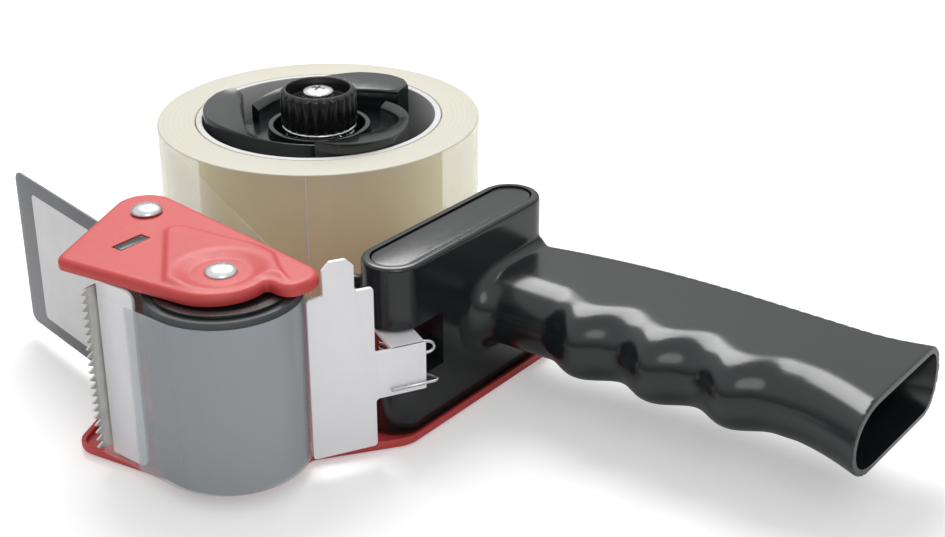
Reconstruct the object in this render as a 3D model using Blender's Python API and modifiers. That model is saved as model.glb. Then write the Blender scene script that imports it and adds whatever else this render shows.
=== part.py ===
"""Packing tape dispenser: pressed plates, a roller, a tape hub with a brake and a moulded handle.

The model stands on its side plate, +Z up, with the grip along +X. Every object hangs from one
empty, whose place puts the middle of the footprint at the origin. Lengths are in metres, and
places are measured from the hub's axis.
"""
import math

import bmesh
import bpy
from mathutils import Vector

# Clearances and drawing steps
FIT_GAP = 0.0003
RUN_GAP = 0.0005
OVERRUN = 0.002
WELD = 0.00001
ARC_STEP = math.radians(14)

# Pressed plates
PLATE = 0.0012
PLATE_SPACING = 0.0566
RIM_DEPTH = 0.0032
RIM_ROUNDING = 0.0018
DISH_RADIUS = 0.011
DISH_FLOOR_RADIUS = 0.0078
DISH_DEPTH = 0.0015
PANEL_RISE = 0.0007
PANEL_SLOPE = 0.0011
RIVET_RADIUS = 0.0025
RIVET_HEAD_RADIUS = 0.00425
RIVET_HEAD_HEIGHT = 0.002

# Tape
TAPE_BUILD = 0.0124
TAPE_WIDTH = 0.048
CORE_BORE_RADIUS = 0.038
CORE_WALL = 0.002
FILM = 0.0004
FILM_END_GAP = 0.0005

# Hub and its brake
HUB_FLANGE = 0.002
HUB_FLANGE_LAP = 0.0012
BARREL_RADIUS = 0.0168
BARREL_WALL = 0.0018
WELL_DEPTH = 0.0175
WELL_RIM_DROP = 0.0028
KNOB_RISE = 0.0093
WEB_RADIUS = 0.028
WEB_THICKNESS = 0.0025
WEB_DROP = 0.0065
VANE_COUNT = 3
VANE_START = math.radians(190)
VANE_SWEEP = math.radians(122)
VANE_RISE = 0.0042
VANE_FALL = 0.0045
VANE_DISH = 0.0022
VANE_OUTER_SHARES = (0.9, 0.975, 1.0, 1.0, 0.985, 0.93, 0.87, 0.82, 0.79, 0.76, 0.735, 0.71, 0.69)
VANE_INNER_SHARES = (0.795, 0.73, 0.69, 0.66, 0.65, 0.66, 0.68, 0.69, 0.69, 0.67, 0.65, 0.63, 0.62)
STUD_RADIUS = 0.004
STUD_FOOT_RADIUS = 0.006
WASHER = 0.0006
BRAKE_WASHER = 0.0008
BRAKE_WASHER_CLEARANCE = 0.0028
SPRING_WIRE = 0.0015
SPRING_INSET = 0.0012
SPRING_TURNS = 4.5
KNOB_CLEARANCE = 0.0025
KNOB_HEIGHT = 0.012
KNOB_RIBS = 24
KNOB_RIB_DEPTH = 0.0006
KNOB_CHAMFER = 0.001
KNOB_LIP = 0.002
KNOB_RECESS = 0.0045
KNOB_SCREW_RADIUS = 0.00505
KNOB_SCREW_HEAD = 0.0025
KNOB_SCREW_SHANK = 0.0018
KNOB_SCREW_LENGTH = 0.01

# Roller
ROLLER_X = 0.0685
ROLLER_Y = -0.1121
ROLLER_RADIUS = 0.0205
SLEEVE = 0.0045
ROLLER_CAP = 0.0008
ROLLER_CAP_RADIUS = 0.0185
ROLLER_PLUG = 0.003

# Head of the plates, as shares of two lengths measured from the roller's axis
HEAD_LENGTH = 0.055
HEAD_DEPTH = 0.021
HEAD_TIP_SHARES = (-0.725, -0.995)
HEAD_CORNER_SHARES = (-1.109, 1.319)
HEAD_NOSE_SHARES = (0.416, 0.69)
HEAD_CHIN_SHARES = (0.371, 0.119)
HEAD_NOTCH_SHARES = (0.245, 0.152)
HEAD_BULGE_SHARE = -0.629
PANEL_FRONT_SHARES = (-0.085, -0.645)
PANEL_BULGE_SHARES = (0.236, -0.535)
PANEL_NOTCH_SHARES = (0.209, 0.2)
PANEL_NOSE_SHARES = (0.104, 0.657)
PANEL_BACK_SHARES = (0.009, 0.819)
PANEL_CORNER_SHARES = (-0.509, 0.629)
PANEL_LEFT_SHARES = (-0.545, 0.405)
PANEL_ROUNDING = 0.0025
PANEL_BULGE = 0.012
SIDE_BULGE_SHARE = -0.61
SIDE_NOTCH_SHARES = (0.28, 0.69)
SIDE_CORNER_SHARES = (-1.005, 0.7)
CHEEK_BULGE = 0.015
SIDE_BULGE = 0.0165
TIP_ROUNDING = 0.002
CORNER_ROUNDING = 0.009
NOSE_ROUNDING = 0.0057
CHIN_ROUNDING = 0.003
NOTCH_ROUNDING = 0.001
SIDE_CORNER_ROUNDING = 0.02
SIDE_NOTCH_ROUNDING = 0.003
SHOULDER_ROUNDING = 0.01
SHOULDER_DROP = 0.002
PLATE_MARGIN = 0.0022
HUB_PAD_RADIUS = 0.02
HUB_PAD_SHARE = 1.5
RIM_FREE_RADIUS = 0.058
SPACER_SHARES = (-0.775, 0.657)
HOLDER_SHARES = (-0.566, -0.105)
SPACER_RADIUS = 0.0042

# Guide plate, blade and flap
GUIDE = 0.001
GUIDE_FACE_SHARE = -0.867
GUIDE_WIDTH = 0.014
GUIDE_FLANGE = 0.011
GUIDE_END_GAP = 0.0003
GUIDE_ROUNDING = 0.003
BLADE = 0.0007
BLADE_WIDTH = 0.0215
BLADE_LENGTH = 0.048
BLADE_TEETH = 21
BLADE_TOOTH_DEPTH = 0.0022
BLADE_REACH = 0.0044
HOLDER_TAB = 0.0033
HOLDER_TAB_LENGTH = 0.0098
HOLDER_BODY = 0.0046
HOLDER_BODY_LENGTH = 0.0125
FLAP = 0.0008
FLAP_LENGTH = 0.076
FLAP_HEIGHT = 0.0498
FLAP_GRIP = 0.0028
FLAP_ROUNDING = 0.003
FLAP_TURN = math.radians(168.1)
FLAP_ROOT = 0.0028

# Handle block
BLOCK_X = 0.08885
BLOCK_WIDTH = 0.0177
BLOCK_NEAR_Y = -0.0772
BLOCK_FAR_Y = -0.0068
BLOCK_EDGE = 0.0008
LID = 0.0021
LID_SET_BACK = 0.0004
LID_MARGIN = 0.0024
SLOT_BOTTOM = 0.0185
SLOT_HEIGHT = 0.0159
SLOT_END_Y = -0.0583
LUG_X = 0.0836
LUG_HEIGHT = 0.0395
LUG_NEAR_Y = -0.0725
LUG_LENGTH = 0.0085
SCREW_RADIUS = 0.0017
SCREW_HEAD_RADIUS = 0.0037
SCREW_LENGTH = 0.013
SCREW_INSET = 0.011
SCREW_SPACING = 0.03

# Pistol grip
GRIP_END_X = 0.215
GRIP_MIDDLE_Z = 0.0269
GRIP_HALF_HEIGHT = 0.0113
GRIP_TAPER = 0.0005
GRIP_WALL = 0.002
GRIP_ROUNDNESS = 2.2
GRIP_FINGER_Y = -0.0437
GRIP_FINGER_TAPER = 0.0033
GRIP_FINGER_FLARE = 0.0064
GRIP_FINGER_SIDE = 0.014
GRIP_PALM_Y = 0.0016
GRIP_PALM_DROP = 0.0088
GRIP_PALM_RUN = 0.068
GRIP_PALM_FLARE = 0.0036
GRIP_PALM_SIDE = 0.008
GRIP_FLARE_RUN = 0.02
NECK_ROUNDING = 0.008
NECK_EDGE = 0.003
RIDGE_FIRST_X = 0.1315
RIDGE_PITCH = 0.023
RIDGE_COUNT = 3
RIDGE_DEPTH = 0.0048
SERRATION_FIRST_X = 0.138
SERRATION_PITCH = 0.0035
SERRATION_COUNT = 20
SERRATION_DEPTH = 0.0007
GRIP_HOLLOW_X = 0.112

# Gate
GATE = 0.0012
GATE_PIN_X = 0.09
GATE_PIN_Y = -0.0715
GATE_TURN = math.radians(62)
GATE_REACH = 0.0134
GATE_PLATE_START = 0.02795
GATE_PLATE_END = 0.00975
GATE_BOTTOM = 0.0052
GATE_HEIGHT = 0.0475
GATE_ROUNDING = 0.001
GATE_TAB_START = 0.02355
GATE_TAB_WIDTH = 0.0086
GATE_TAB_HEIGHT = 0.0095
GATE_TAB_CHAMFER = 0.0022
GATE_EAR_RADIUS = 0.00475
GATE_EAR_GAP = 0.001
GATE_PIN_RADIUS = 0.0015
GATE_PIN_START = 0.012
GATE_WIRE = 0.0009
GATE_COIL_RADIUS = 0.0031
GATE_COIL_TURNS = 5
GATE_LEG_END = 0.0065
GATE_LEG_BEND = 0.0032
GATE_LEG_HOOK = 0.009

# Levels that follow from the sizes above
CHEEK_FACE = PLATE + PLATE_SPACING
CHEEK_TOP = CHEEK_FACE + PLATE
HUB_BOTTOM = PLATE + FIT_GAP + WASHER + FIT_GAP
TAPE_BOTTOM = HUB_BOTTOM + HUB_FLANGE + FIT_GAP
TAPE_TOP = TAPE_BOTTOM + TAPE_WIDTH
TAPE_RADIUS = CORE_BORE_RADIUS + CORE_WALL + TAPE_BUILD
HUB_FLANGE_RADIUS = CORE_BORE_RADIUS + HUB_FLANGE_LAP
WELL_RADIUS = BARREL_RADIUS - BARREL_WALL
BRAKE_WASHER_RADIUS = WELL_RADIUS - BRAKE_WASHER_CLEARANCE
SPRING_RADIUS = BRAKE_WASHER_RADIUS - SPRING_INSET
KNOB_RADIUS = WELL_RADIUS - KNOB_CLEARANCE
BLADE_TIP_Y = ROLLER_Y + GUIDE_FACE_SHARE * HEAD_DEPTH - BLADE_REACH
FINE_STEP = ARC_STEP / 2

COLLECTION = "packing_tape_dispenser"
CUTTERS = "packing_tape_dispenser_cutters"


def start_scene():
    """Empties the scene, and makes both collections and the empty that carries every object."""
    for old in list(bpy.data.objects):
        bpy.data.objects.remove(old, do_unlink=True)
    for name in (COLLECTION, CUTTERS):
        if name not in bpy.data.collections:
            bpy.context.scene.collection.children.link(bpy.data.collections.new(name))
    carrier = bpy.data.objects.new("footprint_middle", None)
    carrier.location.x = (TAPE_RADIUS - GRIP_END_X) / 2
    carrier.location.y = -(TAPE_RADIUS + BLADE_TIP_Y) / 2
    bpy.data.collections[COLLECTION].objects.link(carrier)
    return carrier


CARRIER = start_scene()


def paint(name, colour, roughness, metallic=0.0, transmission=0.0):
    """A Principled material of one colour."""
    material = bpy.data.materials.new(name)
    material.use_nodes = True
    shader = material.node_tree.nodes["Principled BSDF"]
    shader.inputs["Base Color"].default_value = (*colour, 1.0)
    shader.inputs["Roughness"].default_value = roughness
    shader.inputs["Metallic"].default_value = metallic
    shader.inputs["Transmission Weight"].default_value = transmission
    material.diffuse_color = (*colour, 1.0)
    return material


RED_PAINT = paint("red_paint", (0.62, 0.075, 0.06), 0.32)
BLACK_PLASTIC = paint("black_plastic", (0.012, 0.012, 0.014), 0.22)
GREY_PLASTIC = paint("grey_plastic", (0.16, 0.165, 0.19), 0.45)
RUBBER = paint("rubber", (0.07, 0.075, 0.08), 0.6)
STEEL = paint("steel", (0.74, 0.74, 0.77), 0.18, metallic=1.0)
BLADE_STEEL = paint("blade_steel", (0.55, 0.55, 0.53), 0.3, metallic=1.0)
SPRING_STEEL = paint("spring_steel", (0.6, 0.6, 0.62), 0.25, metallic=1.0)
TAPE_FILM = paint("tape_film", (0.83, 0.8, 0.66), 0.3, transmission=0.15)
CORE_CARD = paint("core_card", (0.72, 0.72, 0.7), 0.6)


def place(shape, material, location=(0.0, 0.0, 0.0), rotation=(0.0, 0.0, 0.0)):
    """Hangs an object from the empty at a place measured from the hub's axis, and paints it."""
    shape.parent = CARRIER
    shape.location = location
    shape.rotation_euler = rotation
    if material:
        shape.data.materials.clear()
        shape.data.materials.append(material)
    return shape


def link(name, data, cutter=False):
    """Puts new data in the scene, among the parts or among the cutters."""
    shape = bpy.data.objects.new(name, data)
    bpy.data.collections[CUTTERS if cutter else COLLECTION].objects.link(shape)
    if cutter:
        shape.hide_render = True
        shape.display_type = "WIRE"
    return shape


def smooth(shape):
    """Shades round faces smooth and keeps the edges between flats sharp."""
    shape.data.shade_smooth()
    shape.data.set_sharp_from_angle(angle=math.radians(35))


def from_bmesh(name, shell, cutter=False):
    """Makes an object from a bmesh, which is freed."""
    mesh = bpy.data.meshes.new(name)
    shell.to_mesh(mesh)
    shell.free()
    return link(name, mesh, cutter)


def rounded(corners, inset=0.0, step=ARC_STEP):
    """Points of a closed outline, given counter-clockwise as corners (x, y, rounding)."""
    points = []
    count = len(corners)
    for index, (x, y, rounding) in enumerate(corners):
        here = Vector((x, y))
        before = (here - Vector(corners[index - 1][:2])).normalized()
        after = (Vector(corners[(index + 1) % count][:2]) - here).normalized()
        turn = math.atan2(before.x * after.y - before.y * after.x, before.dot(after))
        side = math.copysign(1.0, turn)
        before_left = Vector((-before.y, before.x))
        after_left = Vector((-after.y, after.x))
        here = here + (before_left + after_left) * inset / (1 + before_left.dot(after_left))
        radius = max(rounding - side * inset, 0.0)
        if radius == 0.0:
            points.append((here.x, here.y))
            continue
        run = radius * math.tan(abs(turn) / 2)
        centre = here - before * run + before_left * side * radius
        arm = (here - before * run) - centre
        steps = max(1, math.ceil(abs(turn) / step))
        for k in range(steps + 1):
            angle = turn * k / steps
            points.append((centre.x + arm.x * math.cos(angle) - arm.y * math.sin(angle),
                           centre.y + arm.x * math.sin(angle) + arm.y * math.cos(angle)))
    return [point for k, point in enumerate(points)
            if math.dist(point, points[k - 1]) > WELD]


def stadium(x, near_y, far_y, width, inset=0.0):
    """Outline of a bar with two round ends, along Y."""
    half = width / 2
    corners = [(x - half, near_y, half), (x + half, near_y, half),
               (x + half, far_y, half), (x - half, far_y, half)]
    return rounded(corners, inset)


def rectangle(low_x, low_y, high_x, high_y, rounding=0.0):
    """Outline of a rectangle with rounded corners."""
    corners = [(low_x, low_y, rounding), (high_x, low_y, rounding),
               (high_x, high_y, rounding), (low_x, high_y, rounding)]
    return rounded(corners)


def prism(name, outline, bottom, top, material=None, cutter=False, edge=0.0,
          location=(0.0, 0.0, 0.0), rotation=(0.0, 0.0, 0.0)):
    """A flat outline given thickness along its own Z, with optional rounded edges."""
    curve = bpy.data.curves.new(name, "CURVE")
    curve.dimensions = "2D"
    curve.fill_mode = "BOTH"
    curve.extrude = (top - bottom) / 2 - edge
    curve.bevel_depth = edge
    curve.bevel_resolution = 1
    curve.offset = -edge
    spline = curve.splines.new("POLY")
    spline.points.add(len(outline) - 1)
    for point, (x, y) in zip(spline.points, outline):
        point.co = (x, y, 0.0, 1.0)
    spline.use_cyclic_u = True
    flat = link(name + "_outline", curve)
    bpy.context.view_layer.update()
    mesh = bpy.data.meshes.new_from_object(flat.evaluated_get(bpy.context.evaluated_depsgraph_get()))
    bpy.data.objects.remove(flat, do_unlink=True)
    shell = bmesh.new()
    shell.from_mesh(mesh)
    bmesh.ops.remove_doubles(shell, verts=shell.verts, dist=WELD)
    for vertex in shell.verts:
        vertex.co.z += (top + bottom) / 2
    bmesh.ops.recalc_face_normals(shell, faces=shell.faces)
    shape = from_bmesh(name, shell, cutter)
    smooth(shape)
    return place(shape, material, location, rotation)


def turned(name, profile, material=None, cutter=False, location=(0.0, 0.0, 0.0), steps=32,
           closed=False):
    """A profile of (radius, z), running down its outer side, screwed round its own Z axis."""
    mesh = bpy.data.meshes.new(name)
    edges = [(k, k + 1) for k in range(len(profile) - 1)]
    if closed:
        edges.append((len(profile) - 1, 0))
    mesh.from_pydata([(radius, 0.0, z) for radius, z in profile], edges, [])
    shape = link(name, mesh, cutter)
    screw = shape.modifiers.new("turn", "SCREW")
    screw.steps = steps
    screw.render_steps = steps
    screw.use_merge_vertices = True
    screw.merge_threshold = WELD
    screw.use_smooth_shade = False
    return place(shape, material, location)


def cylinder(name, radius, bottom, top, location=(0.0, 0.0), steps=24):
    """A round cutter about an upright axis."""
    shell = bmesh.new()
    bmesh.ops.create_cone(shell, cap_ends=True, segments=steps, radius1=radius, radius2=radius,
                          depth=top - bottom)
    for vertex in shell.verts:
        vertex.co.z += (top + bottom) / 2
    return place(from_bmesh(name, shell, cutter=True), None, (location[0], location[1], 0.0))


def lofted(name, rings, material=None, cutter=False, location=(0.0, 0.0, 0.0)):
    """A solid skin through rings of equally many points, closed at both ends."""
    shell = bmesh.new()
    loops = [[shell.verts.new(point) for point in ring] for ring in rings]
    count = len(rings[0])
    for lower, upper in zip(loops, loops[1:]):
        for k in range(count):
            following = (k + 1) % count
            shell.faces.new((lower[k], lower[following], upper[following], upper[k]))
    shell.faces.new(list(reversed(loops[0])))
    shell.faces.new(loops[-1])
    bmesh.ops.recalc_face_normals(shell, faces=shell.faces)
    shape = from_bmesh(name, shell, cutter)
    smooth(shape)
    return place(shape, material, location)


def combine(shape, other, operation):
    """Joins another solid to a shape, or cuts the shape with it."""
    modifier = shape.modifiers.new(other.name, "BOOLEAN")
    modifier.operation = operation
    modifier.object = other
    modifier.solver = "EXACT"
    return shape


def cut(shape, *cutters):
    """Cuts a shape with each cutter."""
    for cutter in cutters:
        combine(shape, cutter, "DIFFERENCE")
    return shape


def join(shape, *others):
    """Joins other solids to a shape."""
    for other in others:
        combine(shape, other, "UNION")
    return shape


def wire(name, points, thickness, material, location=(0.0, 0.0, 0.0)):
    """A round wire with closed ends through a list of points."""
    curve = bpy.data.curves.new(name, "CURVE")
    curve.dimensions = "3D"
    curve.bevel_depth = thickness / 2
    curve.bevel_resolution = 1
    curve.use_fill_caps = True
    curve.twist_mode = "MINIMUM"
    spline = curve.splines.new("POLY")
    spline.points.add(len(points) - 1)
    for point, place_on_wire in zip(spline.points, points):
        point.co = (*place_on_wire, 1.0)
    return place(link(name, curve), material, location)


def print_least_gap(name, points, thickness):
    """Prints how near a wire comes to itself, apart from its neighbouring points."""
    reach = 3 * thickness
    travelled = [0.0]
    for here, there in zip(points, points[1:]):
        travelled.append(travelled[-1] + (Vector(there) - Vector(here)).length)
    least = min((Vector(there) - Vector(here)).length
                for i, here in enumerate(points) for j, there in enumerate(points)
                if travelled[j] - travelled[i] > reach)
    print(f"{name}: least gap to itself {(least - thickness) * 1000:.2f} mm")


def helix(radius, bottom, top, turns, points_per_turn, start=0.0):
    """Points of a coil about Z, climbing from bottom to top."""
    count = round(turns * points_per_turn)
    places = []
    for k in range(count + 1):
        angle = start + 2 * math.pi * turns * k / count
        places.append((radius * math.cos(angle), radius * math.sin(angle),
                       bottom + (top - bottom) * k / count))
    return places


def on_head(shares):
    """A place on the head of the plates, from its shares."""
    return ROLLER_X + shares[0] * HEAD_LENGTH, ROLLER_Y + shares[1] * HEAD_DEPTH


def pressed_plate(name, corners, face, rim_side, flat_radius=0.0):
    """A sheet with its rim turned to one side, except near the hub's axis, and a rounded fold."""
    shell = bmesh.new()
    verts = [shell.verts.new((x, y, face)) for x, y in rounded(corners)]
    sheet = shell.faces.new(verts)
    if rim_side > 0:
        sheet.normal_flip()
    folded = [edge for edge in sheet.edges
              if all(math.hypot(end.co.x, end.co.y) > flat_radius for end in edge.verts)]
    rim = bmesh.ops.extrude_edge_only(shell, edges=folded)
    for item in rim["geom"]:
        if isinstance(item, bmesh.types.BMVert):
            item.co.z += rim_side * RIM_DEPTH
    bmesh.ops.recalc_face_normals(shell, faces=shell.faces)
    if (sheet.normal.z > 0) == (rim_side > 0):
        bmesh.ops.reverse_faces(shell, faces=shell.faces)
    plate = place(from_bmesh(name, shell), RED_PAINT)
    fold = plate.modifiers.new("fold", "BEVEL")
    fold.width = RIM_ROUNDING
    fold.segments = 3
    fold.limit_method = "ANGLE"
    fold.angle_limit = math.radians(60)
    gauge = plate.modifiers.new("gauge", "SOLIDIFY")
    gauge.thickness = PLATE
    gauge.offset = -1.0
    gauge.use_even_offset = True
    return plate


def side_plate():
    """The plate that lies on the table: rim, dish for the axle, and the web lug of the handle."""
    side = BLOCK_X + BLOCK_WIDTH / 2 + PLATE_MARGIN
    pad = HUB_PAD_SHARE * HUB_PAD_RADIUS
    plate = pressed_plate("side_plate", [
        (*on_head(HEAD_TIP_SHARES), TIP_ROUNDING),
        (ROLLER_X + SIDE_BULGE, ROLLER_Y + SIDE_BULGE_SHARE * HEAD_DEPTH, SIDE_BULGE),
        (*on_head(SIDE_NOTCH_SHARES), SIDE_NOTCH_ROUNDING),
        (side, BLOCK_NEAR_Y + SHOULDER_DROP, SHOULDER_ROUNDING),
        (side, BLOCK_FAR_Y + PLATE_MARGIN, BLOCK_WIDTH / 2 + PLATE_MARGIN),
        (-pad, pad, HUB_PAD_RADIUS),
        (*on_head(SIDE_CORNER_SHARES), SIDE_CORNER_ROUNDING),
    ], 0.0, 1, RIM_FREE_RADIUS)
    axle = (ROLLER_X, ROLLER_Y)
    spacer = on_head(SPACER_SHARES)
    lug = prism("side_lug", rectangle(LUG_X - PLATE / 2, LUG_NEAR_Y, LUG_X + PLATE / 2,
                                      LUG_NEAR_Y + LUG_LENGTH), PLATE / 2, PLATE + LUG_HEIGHT,
                cutter=True)
    join(plate, lug, cylinder("side_dish_wall", DISH_RADIUS + PLATE, PLATE / 2, PLATE + DISH_DEPTH, axle))
    cut(plate, cylinder("side_dish", DISH_RADIUS, -OVERRUN, DISH_DEPTH, axle),
        cylinder("side_axle_hole", RIVET_RADIUS + FIT_GAP, -OVERRUN, RIM_DEPTH + OVERRUN, axle),
        countersink("side_stud_hole", STUD_FOOT_RADIUS, STUD_RADIUS, (0.0, 0.0)),
        countersink("side_spacer_hole", RIVET_HEAD_RADIUS, RIVET_RADIUS, spacer),
        holder_slot("side_slot", -OVERRUN, PLATE + OVERRUN))
    for number, spot in enumerate(screw_places(), start=1):
        cut(plate, countersink(f"side_screw_hole_{number}", SCREW_HEAD_RADIUS, SCREW_RADIUS, spot))
    return plate


def stacked(name, corners, levels, material=None, cutter=False):
    """A solid skin through one outline at several levels, each given as (inset, z)."""
    return lofted(name, [[(x, y, z) for x, y in rounded(corners, inset)] for inset, z in levels],
                  material, cutter)


def cheek_plate():
    """The upper plate over the roller: a tray turned down, its panel raised round a dished axle seat."""
    corners = [
        (*on_head(HEAD_TIP_SHARES), TIP_ROUNDING),
        (ROLLER_X + CHEEK_BULGE, ROLLER_Y + HEAD_BULGE_SHARE * HEAD_DEPTH, CHEEK_BULGE),
        (*on_head(HEAD_NOTCH_SHARES), NOTCH_ROUNDING),
        (*on_head(HEAD_CHIN_SHARES), CHIN_ROUNDING),
        (*on_head(HEAD_NOSE_SHARES), NOSE_ROUNDING),
        (*on_head(HEAD_CORNER_SHARES), CORNER_ROUNDING),
    ]
    panel = [
        (*on_head(PANEL_FRONT_SHARES), PANEL_ROUNDING), (*on_head(PANEL_BULGE_SHARES), PANEL_BULGE),
        (*on_head(PANEL_NOTCH_SHARES), PANEL_ROUNDING), (*on_head(PANEL_NOSE_SHARES), PANEL_ROUNDING),
        (*on_head(PANEL_BACK_SHARES), PANEL_ROUNDING), (*on_head(PANEL_CORNER_SHARES), PANEL_ROUNDING),
        (*on_head(PANEL_LEFT_SHARES), PANEL_ROUNDING),
    ]
    fold = [(math.pi / 2 * k / 3) for k in range(4)]
    inner_fold = RIM_ROUNDING - PLATE
    plate = stacked("cheek_plate", corners, [(0.0, CHEEK_TOP - RIM_DEPTH)] + [
        (RIM_ROUNDING * (1 - math.cos(angle)), CHEEK_TOP - RIM_ROUNDING * (1 - math.sin(angle)))
        for angle in fold], RED_PAINT)
    tray = stacked("cheek_tray", corners, [(PLATE, CHEEK_TOP - RIM_DEPTH - OVERRUN)] + [
        (PLATE + inner_fold * (1 - math.cos(angle)), CHEEK_FACE - inner_fold * (1 - math.sin(angle)))
        for angle in fold], cutter=True)
    raised = stacked("cheek_panel", panel, [(0.0, CHEEK_TOP - PLATE / 2), (0.0, CHEEK_TOP),
                                            (PANEL_SLOPE, CHEEK_TOP + PANEL_RISE)], cutter=True)
    pressed = stacked("cheek_panel_back", panel, [(PLATE, CHEEK_FACE - OVERRUN), (PLATE, CHEEK_FACE),
                                                  (PLATE + PANEL_SLOPE, CHEEK_FACE + PANEL_RISE)],
                      cutter=True)
    axle = (ROLLER_X, ROLLER_Y)
    low = CHEEK_FACE - OVERRUN
    high = CHEEK_TOP + OVERRUN
    floor = CHEEK_TOP - DISH_DEPTH
    dish_wall = turned("cheek_dish_wall", [
        (0.0, CHEEK_TOP), (DISH_RADIUS + PLATE / 2, CHEEK_TOP),
        (DISH_FLOOR_RADIUS + PLATE / 2, floor - PLATE), (0.0, floor - PLATE)],
        cutter=True, location=(*axle, 0.0))
    dish = turned("cheek_dish", [
        (0.0, high), (DISH_RADIUS, high), (DISH_RADIUS, CHEEK_TOP + PANEL_RISE / 2),
        (DISH_FLOOR_RADIUS, floor), (0.0, floor)], cutter=True, location=(*axle, 0.0))
    join(plate, raised)
    cut(plate, tray, pressed)
    join(plate, dish_wall)
    return cut(plate, dish, cylinder("cheek_axle_hole", RIVET_RADIUS + FIT_GAP, low, high, axle),
               cylinder("cheek_spacer_hole", RIVET_RADIUS + FIT_GAP, low, high, on_head(SPACER_SHARES)),
               holder_slot("cheek_slot", low, high))


def countersink(name, head_radius, neck_radius, spot):
    """A cutter for a flush head in the side plate, running on as a round hole."""
    head = head_radius + FIT_GAP
    neck = neck_radius + FIT_GAP
    return turned(name, [(0.0, PLATE + OVERRUN), (neck, PLATE + OVERRUN), (neck, PLATE), (head, 0.0),
                         (head, -OVERRUN), (0.0, -OVERRUN)],
                  cutter=True, location=(*spot, 0.0), steps=24)


def holder_slot(name, low, high):
    """A cutter for the slot that takes a tab of the flap holder."""
    x, y = on_head(HOLDER_SHARES)
    return prism(name, rectangle(x - HOLDER_TAB / 2 - FIT_GAP, y - HOLDER_TAB_LENGTH / 2 - FIT_GAP,
                                 x + HOLDER_TAB / 2 + FIT_GAP, y + HOLDER_TAB_LENGTH / 2 + FIT_GAP),
                 low, high, cutter=True)


def screw_places():
    """Where the two screws rise through the side plate into the handle."""
    first = BLOCK_FAR_Y - SCREW_INSET
    return [(BLOCK_X, first), (BLOCK_X, first - SCREW_SPACING)]


def dome(radius, base, height):
    """Profile of a domed rivet head, from its crown to its rim."""
    return [(radius * math.sin(angle), base + height * math.cos(angle))
            for angle in (math.pi / 2 * k / 4 for k in range(5))]


def roller_axle():
    """The riveted pin of the roller, its heads sunk in the dishes."""
    profile = dome(RIVET_HEAD_RADIUS, CHEEK_TOP - DISH_DEPTH + FIT_GAP, RIVET_HEAD_HEIGHT)
    profile += [(RIVET_RADIUS, CHEEK_TOP - DISH_DEPTH + FIT_GAP), (RIVET_RADIUS, DISH_DEPTH - FIT_GAP)]
    profile += [(RIVET_HEAD_RADIUS, DISH_DEPTH - FIT_GAP), (RIVET_HEAD_RADIUS - FIT_GAP, FIT_GAP),
                (0.0, FIT_GAP)]
    return turned("roller_axle", profile, STEEL, location=(ROLLER_X, ROLLER_Y, 0.0), steps=24)


def rear_spacer():
    """The post that holds the two plates apart, riveted at both ends."""
    x, y = on_head(SPACER_SHARES)
    profile = dome(RIVET_HEAD_RADIUS, CHEEK_TOP + FIT_GAP, RIVET_HEAD_HEIGHT)
    profile += [(RIVET_RADIUS, CHEEK_TOP + FIT_GAP), (RIVET_RADIUS, CHEEK_FACE - FIT_GAP),
                (SPACER_RADIUS, CHEEK_FACE - FIT_GAP), (SPACER_RADIUS, PLATE + FIT_GAP),
                (RIVET_RADIUS, PLATE + FIT_GAP), (RIVET_RADIUS, PLATE),
                (RIVET_HEAD_RADIUS, 0.0), (0.0, 0.0)]
    return turned("rear_spacer", profile, STEEL, location=(x, y, 0.0), steps=24)


def upright_sheet(name, outline, thickness, material, location, heading):
    """A flat sheet that stands on edge, its outline drawn as (run, height), facing right of its run."""
    return prism(name, outline, -thickness / 2, thickness / 2, material, location=location,
                 rotation=(math.pi / 2, 0.0, heading))


def guide_plate():
    """The polished sheet in front of the roller, folded back beside the blade."""
    face_y = ROLLER_Y + GUIDE_FACE_SHARE * HEAD_DEPTH
    left = blade_x() + BLADE / 2 + FIT_GAP
    low = RIM_DEPTH + GUIDE_END_GAP
    high = CHEEK_TOP - RIM_DEPTH - GUIDE_END_GAP
    plate = upright_sheet("guide_plate", rounded([
        (0.0, low, 0.0), (GUIDE_WIDTH, low, GUIDE_ROUNDING),
        (GUIDE_WIDTH, high, GUIDE_ROUNDING), (0.0, high, 0.0),
    ]), GUIDE, STEEL, (left, face_y + GUIDE / 2, 0.0), 0.0)
    flange = prism("guide_flange", rectangle(left, face_y, left + GUIDE, face_y + GUIDE_FLANGE),
                   low, high, cutter=True)
    return join(plate, flange)


def blade_x():
    """The blade lies against the right side of the flap holder."""
    return on_head(HOLDER_SHARES)[0] + HOLDER_TAB / 2 + FIT_GAP + FIT_GAP + BLADE / 2


def cutting_blade():
    """The toothed strip that cuts the film."""
    root = BLADE_WIDTH - BLADE_TOOTH_DEPTH
    pitch = BLADE_LENGTH / BLADE_TEETH
    bottom = (CHEEK_TOP - BLADE_LENGTH) / 2
    outline = [(0.0, bottom), (0.0, bottom + BLADE_LENGTH)]
    for tooth in range(BLADE_TEETH, 0, -1):
        outline.append((root, bottom + pitch * tooth))
        outline.append((BLADE_WIDTH, bottom + pitch * (tooth - 0.5)))
    outline.append((root, bottom))
    back = BLADE_TIP_Y + BLADE_WIDTH
    outline = [(run, height) for run, height in reversed(outline)]
    return upright_sheet("cutting_blade", outline, BLADE, BLADE_STEEL, (blade_x(), back, 0.0), -math.pi / 2)


def flap_root():
    """Middle of the flap's held end, in the mouth of the holder."""
    x, y = on_head(HOLDER_SHARES)
    return (x + HOLDER_TAB / 2 + FIT_GAP - HOLDER_BODY + FLAP_GRIP,
            y - HOLDER_TAB_LENGTH / 2 + HOLDER_BODY_LENGTH - FLAP_ROOT)


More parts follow.
